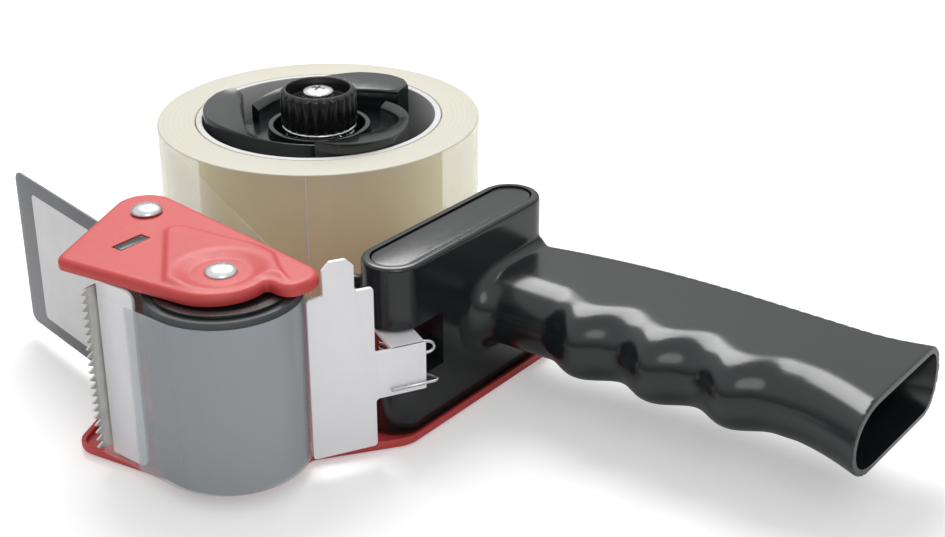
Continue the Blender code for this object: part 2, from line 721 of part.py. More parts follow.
def flap_holder():
    """The bar whose tabs show in the slots of both plates, with a groove for the flap."""
    x, y = on_head(HOLDER_SHARES)
    right = x + HOLDER_TAB / 2 + FIT_GAP
    bar = prism("flap_holder", rectangle(right - HOLDER_BODY, y - HOLDER_TAB_LENGTH / 2, right,
                                         y - HOLDER_TAB_LENGTH / 2 + HOLDER_BODY_LENGTH),
                PLATE + FIT_GAP, CHEEK_FACE - FIT_GAP, BLACK_PLASTIC)
    tabs = prism("holder_tabs", rectangle(x - HOLDER_TAB / 2, y - HOLDER_TAB_LENGTH / 2,
                                          x + HOLDER_TAB / 2, y + HOLDER_TAB_LENGTH / 2),
                 FIT_GAP, CHEEK_TOP - FIT_GAP, cutter=True)
    root_x, root_y = flap_root()
    mouth = prism("holder_mouth", rectangle(-FLAP_GRIP - OVERRUN, -FLAP / 2 - FIT_GAP,
                                            FIT_GAP, FLAP / 2 + FIT_GAP),
                  flap_bottom() - FIT_GAP, flap_bottom() + FLAP_HEIGHT + FIT_GAP, cutter=True,
                  location=(root_x, root_y, 0.0),
                  rotation=(0.0, 0.0, FLAP_TURN + math.pi))
    return cut(join(bar, tabs), mouth)


def flap_bottom():
    """The flap stands midway between the plates."""
    return (CHEEK_TOP - FLAP_HEIGHT) / 2


def wiper_flap():
    """The stiff sheet that presses the film down, free at its far end."""
    low = flap_bottom()
    outline = rounded([(0.0, low, 0.0), (FLAP_LENGTH, low, FLAP_ROUNDING),
                       (FLAP_LENGTH, low + FLAP_HEIGHT, FLAP_ROUNDING), (0.0, low + FLAP_HEIGHT, 0.0)])
    return upright_sheet("wiper_flap", outline, FLAP, GREY_PLASTIC, (*flap_root(), 0.0), FLAP_TURN)


def roller():
    """The core, its rubber sleeve and the two caps, all about the axle."""
    spot = (ROLLER_X, ROLLER_Y, 0.0)
    bore = RIVET_RADIUS + RUN_GAP
    inner = ROLLER_RADIUS - SLEEVE - FIT_GAP
    cap_low = RIM_DEPTH + FIT_GAP
    sleeve_low = cap_low + ROLLER_CAP + FIT_GAP
    plug_end = sleeve_low + ROLLER_PLUG
    core_low = plug_end + FIT_GAP
    turned("roller_core", [(inner, CHEEK_TOP - core_low), (inner, core_low),
                           (bore, core_low), (bore, CHEEK_TOP - core_low)],
           BLACK_PLASTIC, location=spot, closed=True)
    turned("roller_sleeve", [(ROLLER_RADIUS, CHEEK_TOP - sleeve_low), (ROLLER_RADIUS, sleeve_low),
                             (inner + FIT_GAP, sleeve_low), (inner + FIT_GAP, CHEEK_TOP - sleeve_low)],
           RUBBER, location=spot, steps=48, closed=True)
    turned("roller_end_cap_top", [
        (ROLLER_CAP_RADIUS, CHEEK_TOP - cap_low), (ROLLER_CAP_RADIUS, CHEEK_TOP - cap_low - ROLLER_CAP),
        (inner, CHEEK_TOP - cap_low - ROLLER_CAP), (inner, CHEEK_TOP - plug_end),
        (bore, CHEEK_TOP - plug_end), (bore, CHEEK_TOP - cap_low),
    ], BLACK_PLASTIC, location=spot, closed=True)
    turned("roller_end_cap_bottom", [
        (inner, plug_end), (inner, cap_low + ROLLER_CAP), (ROLLER_CAP_RADIUS, cap_low + ROLLER_CAP),
        (ROLLER_CAP_RADIUS, cap_low), (bore, cap_low), (bore, plug_end),
    ], BLACK_PLASTIC, location=spot, closed=True)


def tape():
    """The wound film on its core."""
    core_radius = CORE_BORE_RADIUS + CORE_WALL
    turned("tape_core", [(core_radius, TAPE_TOP), (core_radius, TAPE_BOTTOM),
                         (CORE_BORE_RADIUS, TAPE_BOTTOM), (CORE_BORE_RADIUS, TAPE_TOP)],
           CORE_CARD, steps=60, closed=True)
    turned("tape_roll", [(TAPE_RADIUS, TAPE_TOP), (TAPE_RADIUS, TAPE_BOTTOM),
                         (core_radius + FIT_GAP, TAPE_BOTTOM), (core_radius + FIT_GAP, TAPE_TOP)],
           TAPE_FILM, steps=72, closed=True)


def tape_strand():
    """The film from the roll, crossing over to the roller, round it and on to the blade."""
    at_roll = TAPE_RADIUS + FIT_GAP + FILM / 2
    at_roller = ROLLER_RADIUS + FIT_GAP + FILM / 2
    apart = math.hypot(ROLLER_X, ROLLER_Y)
    leaving = math.atan2(ROLLER_Y, ROLLER_X) - math.acos((at_roll + at_roller) / apart)
    path = [(at_roll * math.cos(leaving), at_roll * math.sin(leaving))]
    turn = leaving + math.pi + math.pi / 2
    steps = math.ceil(turn / FINE_STEP)
    for k in range(steps + 1):
        angle = leaving + math.pi - turn * k / steps
        path.append((ROLLER_X + at_roller * math.cos(angle), ROLLER_Y + at_roller * math.sin(angle)))
    path.append((blade_x() + BLADE / 2 + FILM_END_GAP, path[-1][1]))
    left = []
    right = []
    for k, here in enumerate(path):
        before = Vector(path[max(k - 1, 0)])
        after = Vector(path[min(k + 1, len(path) - 1)])
        along = (after - before).normalized()
        left.append((here[0] - along.y * FILM / 2, here[1] + along.x * FILM / 2))
        right.append((here[0] + along.y * FILM / 2, here[1] - along.x * FILM / 2))
    return prism("tape_strand", left + right[::-1], TAPE_BOTTOM, TAPE_TOP, TAPE_FILM)


def well_floor():
    """Level of the floor on which the brake rests in the hub's well."""
    return TAPE_TOP - WELL_RIM_DROP - WELL_DEPTH


def vane(number):
    """One curved vane, drawn in from the core's wall to the barrel, its top edge falling."""
    rings = []
    last = len(VANE_OUTER_SHARES) - 1
    bottom = HUB_BOTTOM + HUB_FLANGE + FIT_GAP
    for k, (outer_share, inner_share) in enumerate(zip(VANE_OUTER_SHARES, VANE_INNER_SHARES)):
        angle = VANE_START + VANE_SWEEP * k / last + 2 * math.pi * number / VANE_COUNT
        top = TAPE_TOP + VANE_RISE - VANE_FALL * k / last
        outer = outer_share * (CORE_BORE_RADIUS - FIT_GAP)
        inner = inner_share * (CORE_BORE_RADIUS - FIT_GAP)
        rings.append([(radius * math.cos(angle), radius * math.sin(angle), z)
                      for radius, z in ((outer, bottom), (outer, top),
                                        (inner, top - VANE_DISH), (inner, bottom))])
    return lofted(f"hub_vane_{number}", rings, cutter=True)


def hub_core():
    """The barrel of the wheel under the tape, with the well of the brake."""
    rim = TAPE_TOP - WELL_RIM_DROP
    bore = STUD_RADIUS + RUN_GAP
    return turned("hub_core", [
        (BARREL_RADIUS, rim), (BARREL_RADIUS, HUB_BOTTOM), (bore, HUB_BOTTOM), (bore, well_floor()),
        (WELL_RADIUS, well_floor()), (WELL_RADIUS, rim),
    ], BLACK_PLASTIC, steps=48, closed=True)


def hub_flange():
    """The flange round the barrel's foot, on which the tape's core stands."""
    inner = BARREL_RADIUS + FIT_GAP
    return turned("hub_flange", [
        (HUB_FLANGE_RADIUS, HUB_BOTTOM + HUB_FLANGE), (HUB_FLANGE_RADIUS, HUB_BOTTOM),
        (inner, HUB_BOTTOM), (inner, HUB_BOTTOM + HUB_FLANGE),
    ], BLACK_PLASTIC, steps=48, closed=True)


def hub_vanes():
    """The web round the barrel, and the three vanes that it holds out against the tape's core."""
    web = TAPE_TOP - WEB_DROP
    inner = BARREL_RADIUS + FIT_GAP
    wheel = turned("hub_vanes", [(WEB_RADIUS, web), (WEB_RADIUS, web - WEB_THICKNESS),
                                 (inner, web - WEB_THICKNESS), (inner, web)],
                   BLACK_PLASTIC, steps=48, closed=True)
    return join(wheel, *[vane(number) for number in range(VANE_COUNT)])


def ring(name, radius, bottom, height, material, steps=32):
    """A flat washer on the stud."""
    bore = STUD_RADIUS + FIT_GAP
    return turned(name, [(radius, bottom + height), (radius, bottom), (bore, bottom),
                         (bore, bottom + height)], material, steps=steps, closed=True)


def knob_top():
    """Level of the knob's top edge."""
    return TAPE_TOP + KNOB_RISE


def brake():
    """The stud, its washers, the coil spring, the ribbed knob and the screw that keeps it on."""
    knob_bottom = knob_top() - KNOB_HEIGHT
    screw_seat = knob_top() - KNOB_SCREW_HEAD
    shank_hole = KNOB_SCREW_SHANK + FIT_GAP
    stud_top = screw_seat - FIT_GAP
    turned("hub_stud", [
        (shank_hole, stud_top), (STUD_RADIUS, stud_top), (STUD_RADIUS, PLATE), (STUD_FOOT_RADIUS, 0.0),
        (0.0, 0.0), (0.0, stud_top - KNOB_SCREW_LENGTH), (shank_hole, stud_top - KNOB_SCREW_LENGTH),
    ], STEEL, steps=24, closed=True)
    profile = dome(KNOB_SCREW_RADIUS, screw_seat + KNOB_SCREW_HEAD / 2, KNOB_SCREW_HEAD / 2)
    profile += [(KNOB_SCREW_RADIUS, screw_seat), (KNOB_SCREW_SHANK, screw_seat),
                (KNOB_SCREW_SHANK, stud_top - KNOB_SCREW_LENGTH + FIT_GAP),
                (0.0, stud_top - KNOB_SCREW_LENGTH + FIT_GAP)]
    turned("knob_screw", profile, STEEL, steps=24)
    ring("friction_washer", BRAKE_WASHER_RADIUS, PLATE + FIT_GAP, WASHER, SPRING_STEEL)
    lower = well_floor() + FIT_GAP
    ring("spring_seat_washer", BRAKE_WASHER_RADIUS, lower, BRAKE_WASHER, SPRING_STEEL)
    upper = knob_bottom - FIT_GAP - BRAKE_WASHER
    ring("pressure_washer", BRAKE_WASHER_RADIUS, upper, BRAKE_WASHER, SPRING_STEEL)
    points = helix(SPRING_RADIUS, lower + BRAKE_WASHER + FIT_GAP + SPRING_WIRE / 2,
                   upper - FIT_GAP - SPRING_WIRE / 2, SPRING_TURNS, 10)
    print_least_gap("hub_spring", points, SPRING_WIRE)
    wire("hub_spring", points, SPRING_WIRE, SPRING_STEEL)
    return tension_knob(knob_bottom)


def ribbed_ring(inset, rib_depth, level):
    """Points round the knob at one level, its ribs drawn as a wave."""
    count = KNOB_RIBS * 4
    places = []
    for k in range(count):
        angle = 2 * math.pi * k / count
        radius = KNOB_RADIUS - inset - rib_depth * (1 - math.cos(KNOB_RIBS * angle)) / 2
        places.append((radius * math.cos(angle), radius * math.sin(angle), level))
    return places


def tension_knob(bottom):
    """The ribbed knob, hollowed at the top round the head of its screw."""
    top = knob_top()
    knob = lofted("tension_knob", [
        ribbed_ring(0.0, KNOB_RIB_DEPTH, bottom),
        ribbed_ring(0.0, KNOB_RIB_DEPTH, top - KNOB_CHAMFER),
        ribbed_ring(KNOB_CHAMFER, 0.0, top),
    ], BLACK_PLASTIC)
    return cut(knob, cylinder("knob_recess", KNOB_RADIUS - KNOB_LIP, top - KNOB_RECESS, top + OVERRUN,
                              steps=32),
               cylinder("knob_bore", STUD_RADIUS + FIT_GAP, bottom - OVERRUN, top))


def lid_floor():
    """Level of the ledge on which the handle's lid rests."""
    return TAPE_TOP - LID_SET_BACK - LID - FIT_GAP


def ramp(value):
    """A share of the way along, held between none and all."""
    return min(max(value, 0.0), 1.0)


def hollow_curve(distance, radius):
    """How far a concave rounding still stands off at a distance from its wall."""
    rest = radius - min(max(distance, 0.0), radius)
    return radius - math.sqrt(radius ** 2 - rest ** 2)


def grip_root():
    """Where the grip leaves the block's flat side."""
    return BLOCK_X + BLOCK_WIDTH / 2


def finger_edge(x):
    """The front of the grip at one station, with its finger ridges and the flare at its end."""
    root = grip_root()
    along = ramp((x - root) / (GRIP_END_X - GRIP_FLARE_RUN - root))
    flare = ramp((x - GRIP_END_X + GRIP_FLARE_RUN) / GRIP_FLARE_RUN) ** 1.5
    edge = GRIP_FINGER_Y + GRIP_FINGER_TAPER * along - GRIP_FINGER_FLARE * flare
    phase = (x - RIDGE_FIRST_X) / RIDGE_PITCH + 0.5
    if 0.0 < phase < RIDGE_COUNT:
        edge -= RIDGE_DEPTH * (1 - math.cos(2 * math.pi * phase)) / 2
    return edge


def palm_edge(x):
    """The back of the grip at one station, rising from the block and flared at its end."""
    along = ramp((x - grip_root()) / GRIP_PALM_RUN)
    flare = ramp((x - GRIP_END_X + GRIP_FLARE_RUN) / GRIP_FLARE_RUN) ** 2
    return GRIP_PALM_Y - GRIP_PALM_DROP * (1 - along) ** 2.2 + GRIP_PALM_FLARE * flare


def grip_ring(x, inset, groove, detail):
    """One station of the grip: a steep rounded front, flat sides and a rounded back."""
    root = grip_root()
    along = ramp((x - root) / (GRIP_END_X - root))
    half = GRIP_HALF_HEIGHT - GRIP_TAPER * along - inset
    front = finger_edge(x)
    front_reach = GRIP_FINGER_SIDE - inset
    back = palm_edge(x) - GRIP_PALM_SIDE
    back_reach = GRIP_PALM_SIDE - inset - groove
    if not inset:
        half += hollow_curve(x - root, NECK_EDGE)
        front_reach += hollow_curve(x - root, NECK_ROUNDING)
    places = []
    for side, centre, reach in ((-1, front + GRIP_FINGER_SIDE, front_reach), (1, back, back_reach)):
        for k in range(detail + 1):
            angle = math.pi * k / detail
            rise = math.copysign(abs(math.cos(angle)) ** (2 / GRIP_ROUNDNESS), -side * math.cos(angle))
            spread = max(math.sin(angle), 0.0) ** (2 / GRIP_ROUNDNESS)
            places.append((x, centre + side * reach * spread, GRIP_MIDDLE_Z + half * rise))
    return places


def grip():
    """The pistol grip, from the neck to the open end, its back serrated for the palm."""
    root = grip_root()
    stations = [(BLOCK_X, 0.0)]
    stations += [(root + NECK_ROUNDING * (1 - math.cos(math.pi / 2 * k / 5)), 0.0) for k in range(6)]
    neck_end = root + NECK_ROUNDING
    stations += [(neck_end + (SERRATION_FIRST_X - neck_end) * k / 12, 0.0) for k in range(1, 13)]
    for k in range(1, 2 * SERRATION_COUNT + 1):
        groove = SERRATION_DEPTH if k % 2 else 0.0
        stations.append((SERRATION_FIRST_X + SERRATION_PITCH * k / 2, groove))
    last = stations[-1][0]
    stations += [(last + (GRIP_END_X - last) * k / 4, 0.0) for k in range(1, 5)]
    return lofted("grip", [grip_ring(x, 0.0, groove, 8) for x, groove in stations], cutter=True)


def grip_hollow():
    """The hollow inside the grip, open at its far end."""
    count = 20
    step = (GRIP_END_X + OVERRUN - GRIP_HOLLOW_X) / count
    return lofted("grip_hollow", [grip_ring(GRIP_HOLLOW_X + step * k, GRIP_WALL, 0.0, 6)
                                  for k in range(count + 1)], cutter=True)


def handle_body():
    """The moulded handle: an upright block, slotted for the gate, and the grip in one piece."""
    half = BLOCK_WIDTH / 2
    body = prism("handle_body", stadium(BLOCK_X, BLOCK_NEAR_Y, BLOCK_FAR_Y, BLOCK_WIDTH),
                 PLATE + FIT_GAP, TAPE_TOP, BLACK_PLASTIC, edge=BLOCK_EDGE)
    recess = prism("lid_recess", stadium(BLOCK_X, BLOCK_NEAR_Y, BLOCK_FAR_Y, BLOCK_WIDTH, LID_MARGIN),
                   lid_floor(), TAPE_TOP + OVERRUN, cutter=True)
    slot = prism("gate_slot", rectangle(BLOCK_X - half - OVERRUN, BLOCK_NEAR_Y - OVERRUN,
                                        BLOCK_X + half + OVERRUN, SLOT_END_Y),
                 SLOT_BOTTOM, SLOT_BOTTOM + SLOT_HEIGHT, cutter=True)
    pocket = prism("lug_pocket", rectangle(LUG_X - PLATE / 2 - FIT_GAP, LUG_NEAR_Y - FIT_GAP,
                                           LUG_X + PLATE / 2 + FIT_GAP, LUG_NEAR_Y + LUG_LENGTH + FIT_GAP),
                   0.0, PLATE + LUG_HEIGHT + FIT_GAP, cutter=True)
    pin_hole = cylinder("gate_pin_hole", GATE_PIN_RADIUS + FIT_GAP, GATE_PIN_START - FIT_GAP,
                        lid_floor() + OVERRUN, (GATE_PIN_X, GATE_PIN_Y), steps=16)
    join(body, grip())
    cut(body, recess, slot, pocket, pin_hole, grip_hollow())
    for number, spot in enumerate(screw_places(), start=1):
        cut(body, cylinder(f"handle_screw_hole_{number}", SCREW_RADIUS + FIT_GAP, 0.0,
                           SCREW_LENGTH + FIT_GAP, spot, steps=16))
    return body


def handle_fittings():
    """The lid on the block and the two screws that hold the block on the side plate."""
    prism("handle_lid", stadium(BLOCK_X, BLOCK_NEAR_Y, BLOCK_FAR_Y, BLOCK_WIDTH, LID_MARGIN + FIT_GAP),
          lid_floor() + FIT_GAP, TAPE_TOP - LID_SET_BACK, BLACK_PLASTIC)
    for number, (x, y) in enumerate(screw_places(), start=1):
        turned(f"handle_screw_{number}", [
            (0.0, SCREW_LENGTH), (SCREW_RADIUS, SCREW_LENGTH - SCREW_RADIUS), (SCREW_RADIUS, PLATE),
            (SCREW_HEAD_RADIUS, 0.0), (0.0, 0.0),
        ], STEEL, location=(x, y, 0.0), steps=16)


def arm_levels():
    """Bottom and top of the gate's arm, inside the slot of the block."""
    return SLOT_BOTTOM + GATE_EAR_GAP, SLOT_BOTTOM + SLOT_HEIGHT - GATE_EAR_GAP


def gate_plate():
    """The polished gate: plate, thumb tab, arm and the two ears on the pin, about the pin's axis."""
    arm_low, arm_high = arm_levels()
    top = GATE_BOTTOM + GATE_HEIGHT
    tab_end = GATE_TAB_WIDTH - GATE_TAB_START
    pin = (GATE_PIN_X, GATE_PIN_Y, 0.0)
    outline = rounded([
        (-GATE_PLATE_START, GATE_BOTTOM, GATE_ROUNDING), (-GATE_PLATE_END, GATE_BOTTOM, GATE_ROUNDING),
        (-GATE_PLATE_END, arm_low, GATE_ROUNDING), (GATE_EAR_RADIUS, arm_low, 0.0),
        (GATE_EAR_RADIUS, arm_high, 0.0), (-GATE_PLATE_END, arm_high, GATE_ROUNDING),
        (-GATE_PLATE_END, top, GATE_ROUNDING), (tab_end, top, GATE_ROUNDING),
        (tab_end, top + GATE_TAB_HEIGHT - GATE_TAB_CHAMFER, 0.0),
        (tab_end - GATE_TAB_CHAMFER, top + GATE_TAB_HEIGHT, 0.0),
        (GATE_TAB_CHAMFER - GATE_TAB_START, top + GATE_TAB_HEIGHT, 0.0),
        (-GATE_TAB_START, top + GATE_TAB_HEIGHT - GATE_TAB_CHAMFER, 0.0),
        (-GATE_TAB_START, top, GATE_ROUNDING), (-GATE_PLATE_START, top, GATE_ROUNDING),
    ])
    plate = upright_sheet("gate_plate", outline, GATE, STEEL, pin, GATE_TURN)
    for vertex in plate.data.vertices:
        vertex.co.z += GATE_REACH - GATE / 2
    for name, level in (("gate_ear_low", arm_low), ("gate_ear_high", arm_high - GATE)):
        corners = [(-GATE_EAR_RADIUS, -GATE_REACH + GATE / 2, 0.0),
                   (GATE_EAR_RADIUS, -GATE_REACH + GATE / 2, 0.0),
                   (GATE_EAR_RADIUS, GATE_EAR_RADIUS, GATE_EAR_RADIUS),
                   (-GATE_EAR_RADIUS, GATE_EAR_RADIUS, GATE_EAR_RADIUS)]
        join(plate, prism(name, rounded(corners), level, level + GATE, cutter=True, location=pin,
                          rotation=(0.0, 0.0, GATE_TURN)))
    return cut(plate, cylinder("gate_ear_hole", GATE_PIN_RADIUS + FIT_GAP, arm_low - OVERRUN,
                               arm_high + OVERRUN, pin[:2], steps=16))


def softened(points, rounds=2):
    """Cuts the corners of a wire's route to make its bends round."""
    for _ in range(rounds):
        eased = [points[0]]
        for here, there in zip(points, points[1:]):
            here = Vector(here)
            there = Vector(there)
            eased.append(tuple(here.lerp(there, 0.25)))
            eased.append(tuple(here.lerp(there, 0.75)))
        eased.append(points[-1])
        points = eased
    return points


def gate_spring():
    """The torsion spring round the pin, its lower leg hooked round the end of the arm."""
    arm_low, arm_high = arm_levels()
    low = arm_low + GATE + GATE_EAR_GAP
    high = arm_high - GATE - GATE_EAR_GAP
    front = GATE_REACH + FIT_GAP + GATE_WIRE / 2
    side = GATE_EAR_RADIUS + GATE_LEG_BEND
    leg = [(side - GATE_LEG_HOOK - GATE_EAR_RADIUS, front), (GATE_EAR_RADIUS, front), (side, front),
           (side, GATE_REACH / 2 + GATE_EAR_RADIUS), (GATE_COIL_RADIUS, GATE_REACH / 2),
           (GATE_COIL_RADIUS, 0.0)]
    across = Vector((math.cos(GATE_TURN), math.sin(GATE_TURN), 0.0))
    forward = Vector((math.sin(GATE_TURN), -math.cos(GATE_TURN), 0.0))
    route = [tuple(across * s + forward * f + Vector((0.0, 0.0, low))) for s, f in leg]
    turns = GATE_COIL_TURNS - GATE_TURN / (2 * math.pi)
    coil = helix(GATE_COIL_RADIUS, low, high, turns, 10, start=GATE_TURN)
    points = softened(route)[:-1] + coil + [(GATE_COIL_RADIUS, GATE_LEG_END, high)]
    print_least_gap("gate_spring", points, GATE_WIRE)
    return wire("gate_spring", points, GATE_WIRE, SPRING_STEEL, (GATE_PIN_X, GATE_PIN_Y, 0.0))


def gate_pin():
    """The upright pin of the gate, in the block under the lid."""
    height = lid_floor()
    return turned("gate_pin", [(0.0, height), (GATE_PIN_RADIUS, height), (GATE_PIN_RADIUS, GATE_PIN_START),
                               (0.0, GATE_PIN_START)], STEEL, location=(GATE_PIN_X, GATE_PIN_Y, 0.0),
                  steps=16)


def main():
    """Builds every piece of the dispenser."""
    side_plate()
    cheek_plate()
    roller_axle()
    rear_spacer()
    guide_plate()
    cutting_blade()
    flap_holder()
    wiper_flap()
    roller()
    tape()
    tape_strand()
    hub_core()
    hub_flange()
    hub_vanes()
    brake()
    handle_body()
    handle_fittings()
    gate_plate()
    gate_spring()
    gate_pin()


main()
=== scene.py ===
"""Looks of the packing tape dispenser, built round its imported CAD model.

Places are in millimetres from the hub's axis, as in the part's source, with the table at zero, and
piece() turns them into metres in the row frame.
"""

import math

import bmesh
import bpy
import numpy as np
from mathutils import Matrix, Vector, geometry


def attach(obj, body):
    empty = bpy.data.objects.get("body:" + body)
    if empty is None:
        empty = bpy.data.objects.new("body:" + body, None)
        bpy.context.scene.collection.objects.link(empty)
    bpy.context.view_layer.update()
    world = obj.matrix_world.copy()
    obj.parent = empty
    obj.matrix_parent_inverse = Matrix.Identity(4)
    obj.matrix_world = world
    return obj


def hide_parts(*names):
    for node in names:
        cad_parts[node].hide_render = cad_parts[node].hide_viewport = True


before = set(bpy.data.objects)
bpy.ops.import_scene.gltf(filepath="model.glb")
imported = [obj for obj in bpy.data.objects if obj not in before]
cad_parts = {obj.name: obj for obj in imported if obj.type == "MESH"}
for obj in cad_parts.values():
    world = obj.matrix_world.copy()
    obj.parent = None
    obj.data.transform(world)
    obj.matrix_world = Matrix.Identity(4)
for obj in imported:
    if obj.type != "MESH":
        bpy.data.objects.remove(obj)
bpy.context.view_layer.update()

# Where the hub's axis stands in the row frame
HUB_X = -81.3
HUB_Y = 41.1535
MM = 0.001

# Sizes of the part, in millimetres
FIT = 0.3
PLATE = 1.2
RIM = 3.2
FOLD = 1.8
CHEEK_FACE = 57.8
CHEEK_TOP = 59.0
TAPE_LOW = 4.7
TAPE_TOP = 52.7
TAPE_RADIUS = 52.4
CORE_OUTER = 40.0
CORE_BORE = 38.0
FILM = 0.4
ROLLER = (68.5, -112.1)
ROLLER_RADIUS = 20.5
SLEEVE_BORE = 16.0
SLEEVE_END = 4.6
HEAD_LENGTH = 55.0
HEAD_DEPTH = 21.0
BARREL_RADIUS = 16.8
WELL_RADIUS = 15.0
WELL_RIM_DROP = 2.8
WELL_DEPTH = 17.5
HUB_BORE = 4.5
HUB_BOTTOM = 2.4
HUB_FLANGE_TOP = 4.4
HUB_FLANGE_RADIUS = 39.2
WEB_RADIUS = 28.0
WEB_DROP = 6.5
WEB_THICKNESS = 2.5
KNOB_TOP = 62.0
KNOB_HEIGHT = 12.0
KNOB_RADIUS = 12.5
BLOCK_X = 88.85
BLOCK_HALF = 8.85
BLOCK_NEAR = -77.2
BLOCK_FAR = -6.8
PIN = (90.0, -71.5)
GATE_TURN = math.radians(62)

# The photograph's camera, in metres of the row frame and degrees
CAMERA_SPOT = (0.26529, -0.32935, 0.24009)
CAMERA_TILT = 64.249
CAMERA_HEADING = 37.4
CAMERA_LENS = 62.29


# ---------------------------------------------------------------- materials

def tree_of(name):
    """A new node material, with its tree and its Principled shader."""
    made = bpy.data.materials.new(name)
    made.use_nodes = True
    return made, made.node_tree, made.node_tree.nodes["Principled BSDF"]


def add(tree, kind, **values):
    """Adds a node, setting inputs by name and linking those given as sockets."""
    node = tree.nodes.new(kind)
    for key, value in values.items():
        plug(tree, node.inputs[key.replace("_", " ")], value)
    return node


def plug(tree, socket, value):
    """Sets an input, or links it."""
    if isinstance(value, bpy.types.NodeSocket):
        tree.links.new(value, socket)
    else:
        socket.default_value = value


def speckle(tree, scale, stretch=(1.0, 1.0, 1.0)):
    """Noise over the object's own coordinates, stretched for a grain."""
    spot = tree.nodes.new("ShaderNodeTexCoord").outputs["Object"]
    mapping = add(tree, "ShaderNodeMapping", Vector=spot, Scale=stretch)
    noise = add(tree, "ShaderNodeTexNoise", Vector=mapping.outputs["Vector"], Scale=scale,
                Detail=3.0, Roughness=0.55)
    return noise.outputs["Fac"]


def spread(tree, value, low, high, start=0.3, end=0.7):
    """Maps a noise value to a range."""
    node = add(tree, "ShaderNodeMapRange", Value=value)
    node.inputs["From Min"].default_value = start
    node.inputs["From Max"].default_value = end
    node.inputs["To Min"].default_value = low
    node.inputs["To Max"].default_value = high
    return node.outputs["Result"]


def mixed(tree, factor, low, high):
    """One colour or the other, by a factor."""
    node = tree.nodes.new("ShaderNodeMix")
    node.data_type = "RGBA"
    plug(tree, node.inputs["Factor"], factor)
    plug(tree, node.inputs["A"], (*low, 1.0) if isinstance(low, tuple) else low)
    plug(tree, node.inputs["B"], (*high, 1.0) if isinstance(high, tuple) else high)
    return node.outputs["Result"]


def surface(name, dark, light, rough, grain, bump, depth, patch=40.0, stretch=(1.0, 1.0, 1.0),
            wear=None, **constants):
    """A surface of two near colours in patches, with grain in its roughness and its relief."""
    made, tree, shader = tree_of(name)
    colour = mixed(tree, spread(tree, speckle(tree, patch), 0.0, 1.0), dark, light)
    fine = speckle(tree, grain, stretch=stretch)
    if wear:
        edge = tree.nodes.new("ShaderNodeNewGeometry").outputs["Pointiness"]
        worn = spread(tree, edge, 0.0, wear[1], 0.52, 0.60)
        colour = mixed(tree, worn, colour, wear[0])
    plug(tree, shader.inputs["Base Color"], colour)
    plug(tree, shader.inputs["Roughness"], spread(tree, fine, rough[0], rough[1]))
    relief = add(tree, "ShaderNodeBump", Strength=bump, Distance=depth, Height=fine)
    plug(tree, shader.inputs["Normal"], relief.outputs["Normal"])
    for key, value in constants.items():
        shader.inputs[key.replace("_", " ")].default_value = value
    return made


RED = surface("red_enamel", (0.55, 0.052, 0.049), (0.59, 0.060, 0.056), (0.42, 0.50), patch=30.0,
              grain=420.0, bump=0.03, depth=0.00004, Coat_Weight=0.1, Coat_Roughness=0.4)
BLACK = surface("black_moulding", (0.0055, 0.0072, 0.0078), (0.0080, 0.0102, 0.0110), (0.17, 0.22),
                patch=25.0, grain=500.0, bump=0.012, depth=0.00003, Specular_IOR_Level=0.6)
BLACK_SATIN = surface("black_knob", (0.0045, 0.0047, 0.0049), (0.008, 0.0082, 0.0085), (0.21, 0.28),
                      grain=900.0, bump=0.015, depth=0.00003)
RUBBER = surface("roller_rubber", (0.048, 0.052, 0.054), (0.066, 0.071, 0.074), (0.46, 0.62),
                 grain=2200.0, bump=0.15, depth=0.00004)
STEEL = surface("zinc_steel", (0.56, 0.56, 0.57), (0.74, 0.74, 0.76), (0.18, 0.32), patch=260.0,
                grain=700.0, bump=0.2, depth=0.00008, Metallic=1.0)
BRIGHT = surface("bright_steel", (0.90, 0.895, 0.925), (0.93, 0.925, 0.95), (0.38, 0.46), patch=60.0,
                 grain=900.0, stretch=(1.0, 1.0, 0.06), bump=0.04, depth=0.00002, Metallic=0.1)
BLADE_STEEL = surface("ground_steel", (0.52, 0.52, 0.49), (0.66, 0.66, 0.62), (0.30, 0.46),
                      patch=300.0, grain=900.0, stretch=(1.0, 1.0, 0.1), bump=0.2, depth=0.00003,
                      Metallic=1.0)
SHEET = surface("grey_sheet", (0.205, 0.21, 0.225), (0.235, 0.24, 0.258), (0.34, 0.46), patch=35.0,
                grain=1400.0, bump=0.06, depth=0.00003, wear=((0.07, 0.072, 0.078), 0.8))
LABEL = surface("blank_label", (0.76, 0.76, 0.77), (0.82, 0.82, 0.83), (0.42, 0.55), patch=80.0,
                grain=2500.0, bump=0.05, depth=0.00002)
CARD = surface("core_wall", (0.58, 0.58, 0.585), (0.65, 0.65, 0.655), (0.42, 0.58), patch=60.0,
               grain=300.0, stretch=(0.25, 0.25, 2.0), bump=0.18, depth=0.00006)
WOUND = surface("film_on_core", (0.96, 0.83, 0.34), (0.99, 0.92, 0.46), (0.3, 0.45), patch=22.0,
                grain=400.0, bump=0.03, depth=0.00003)


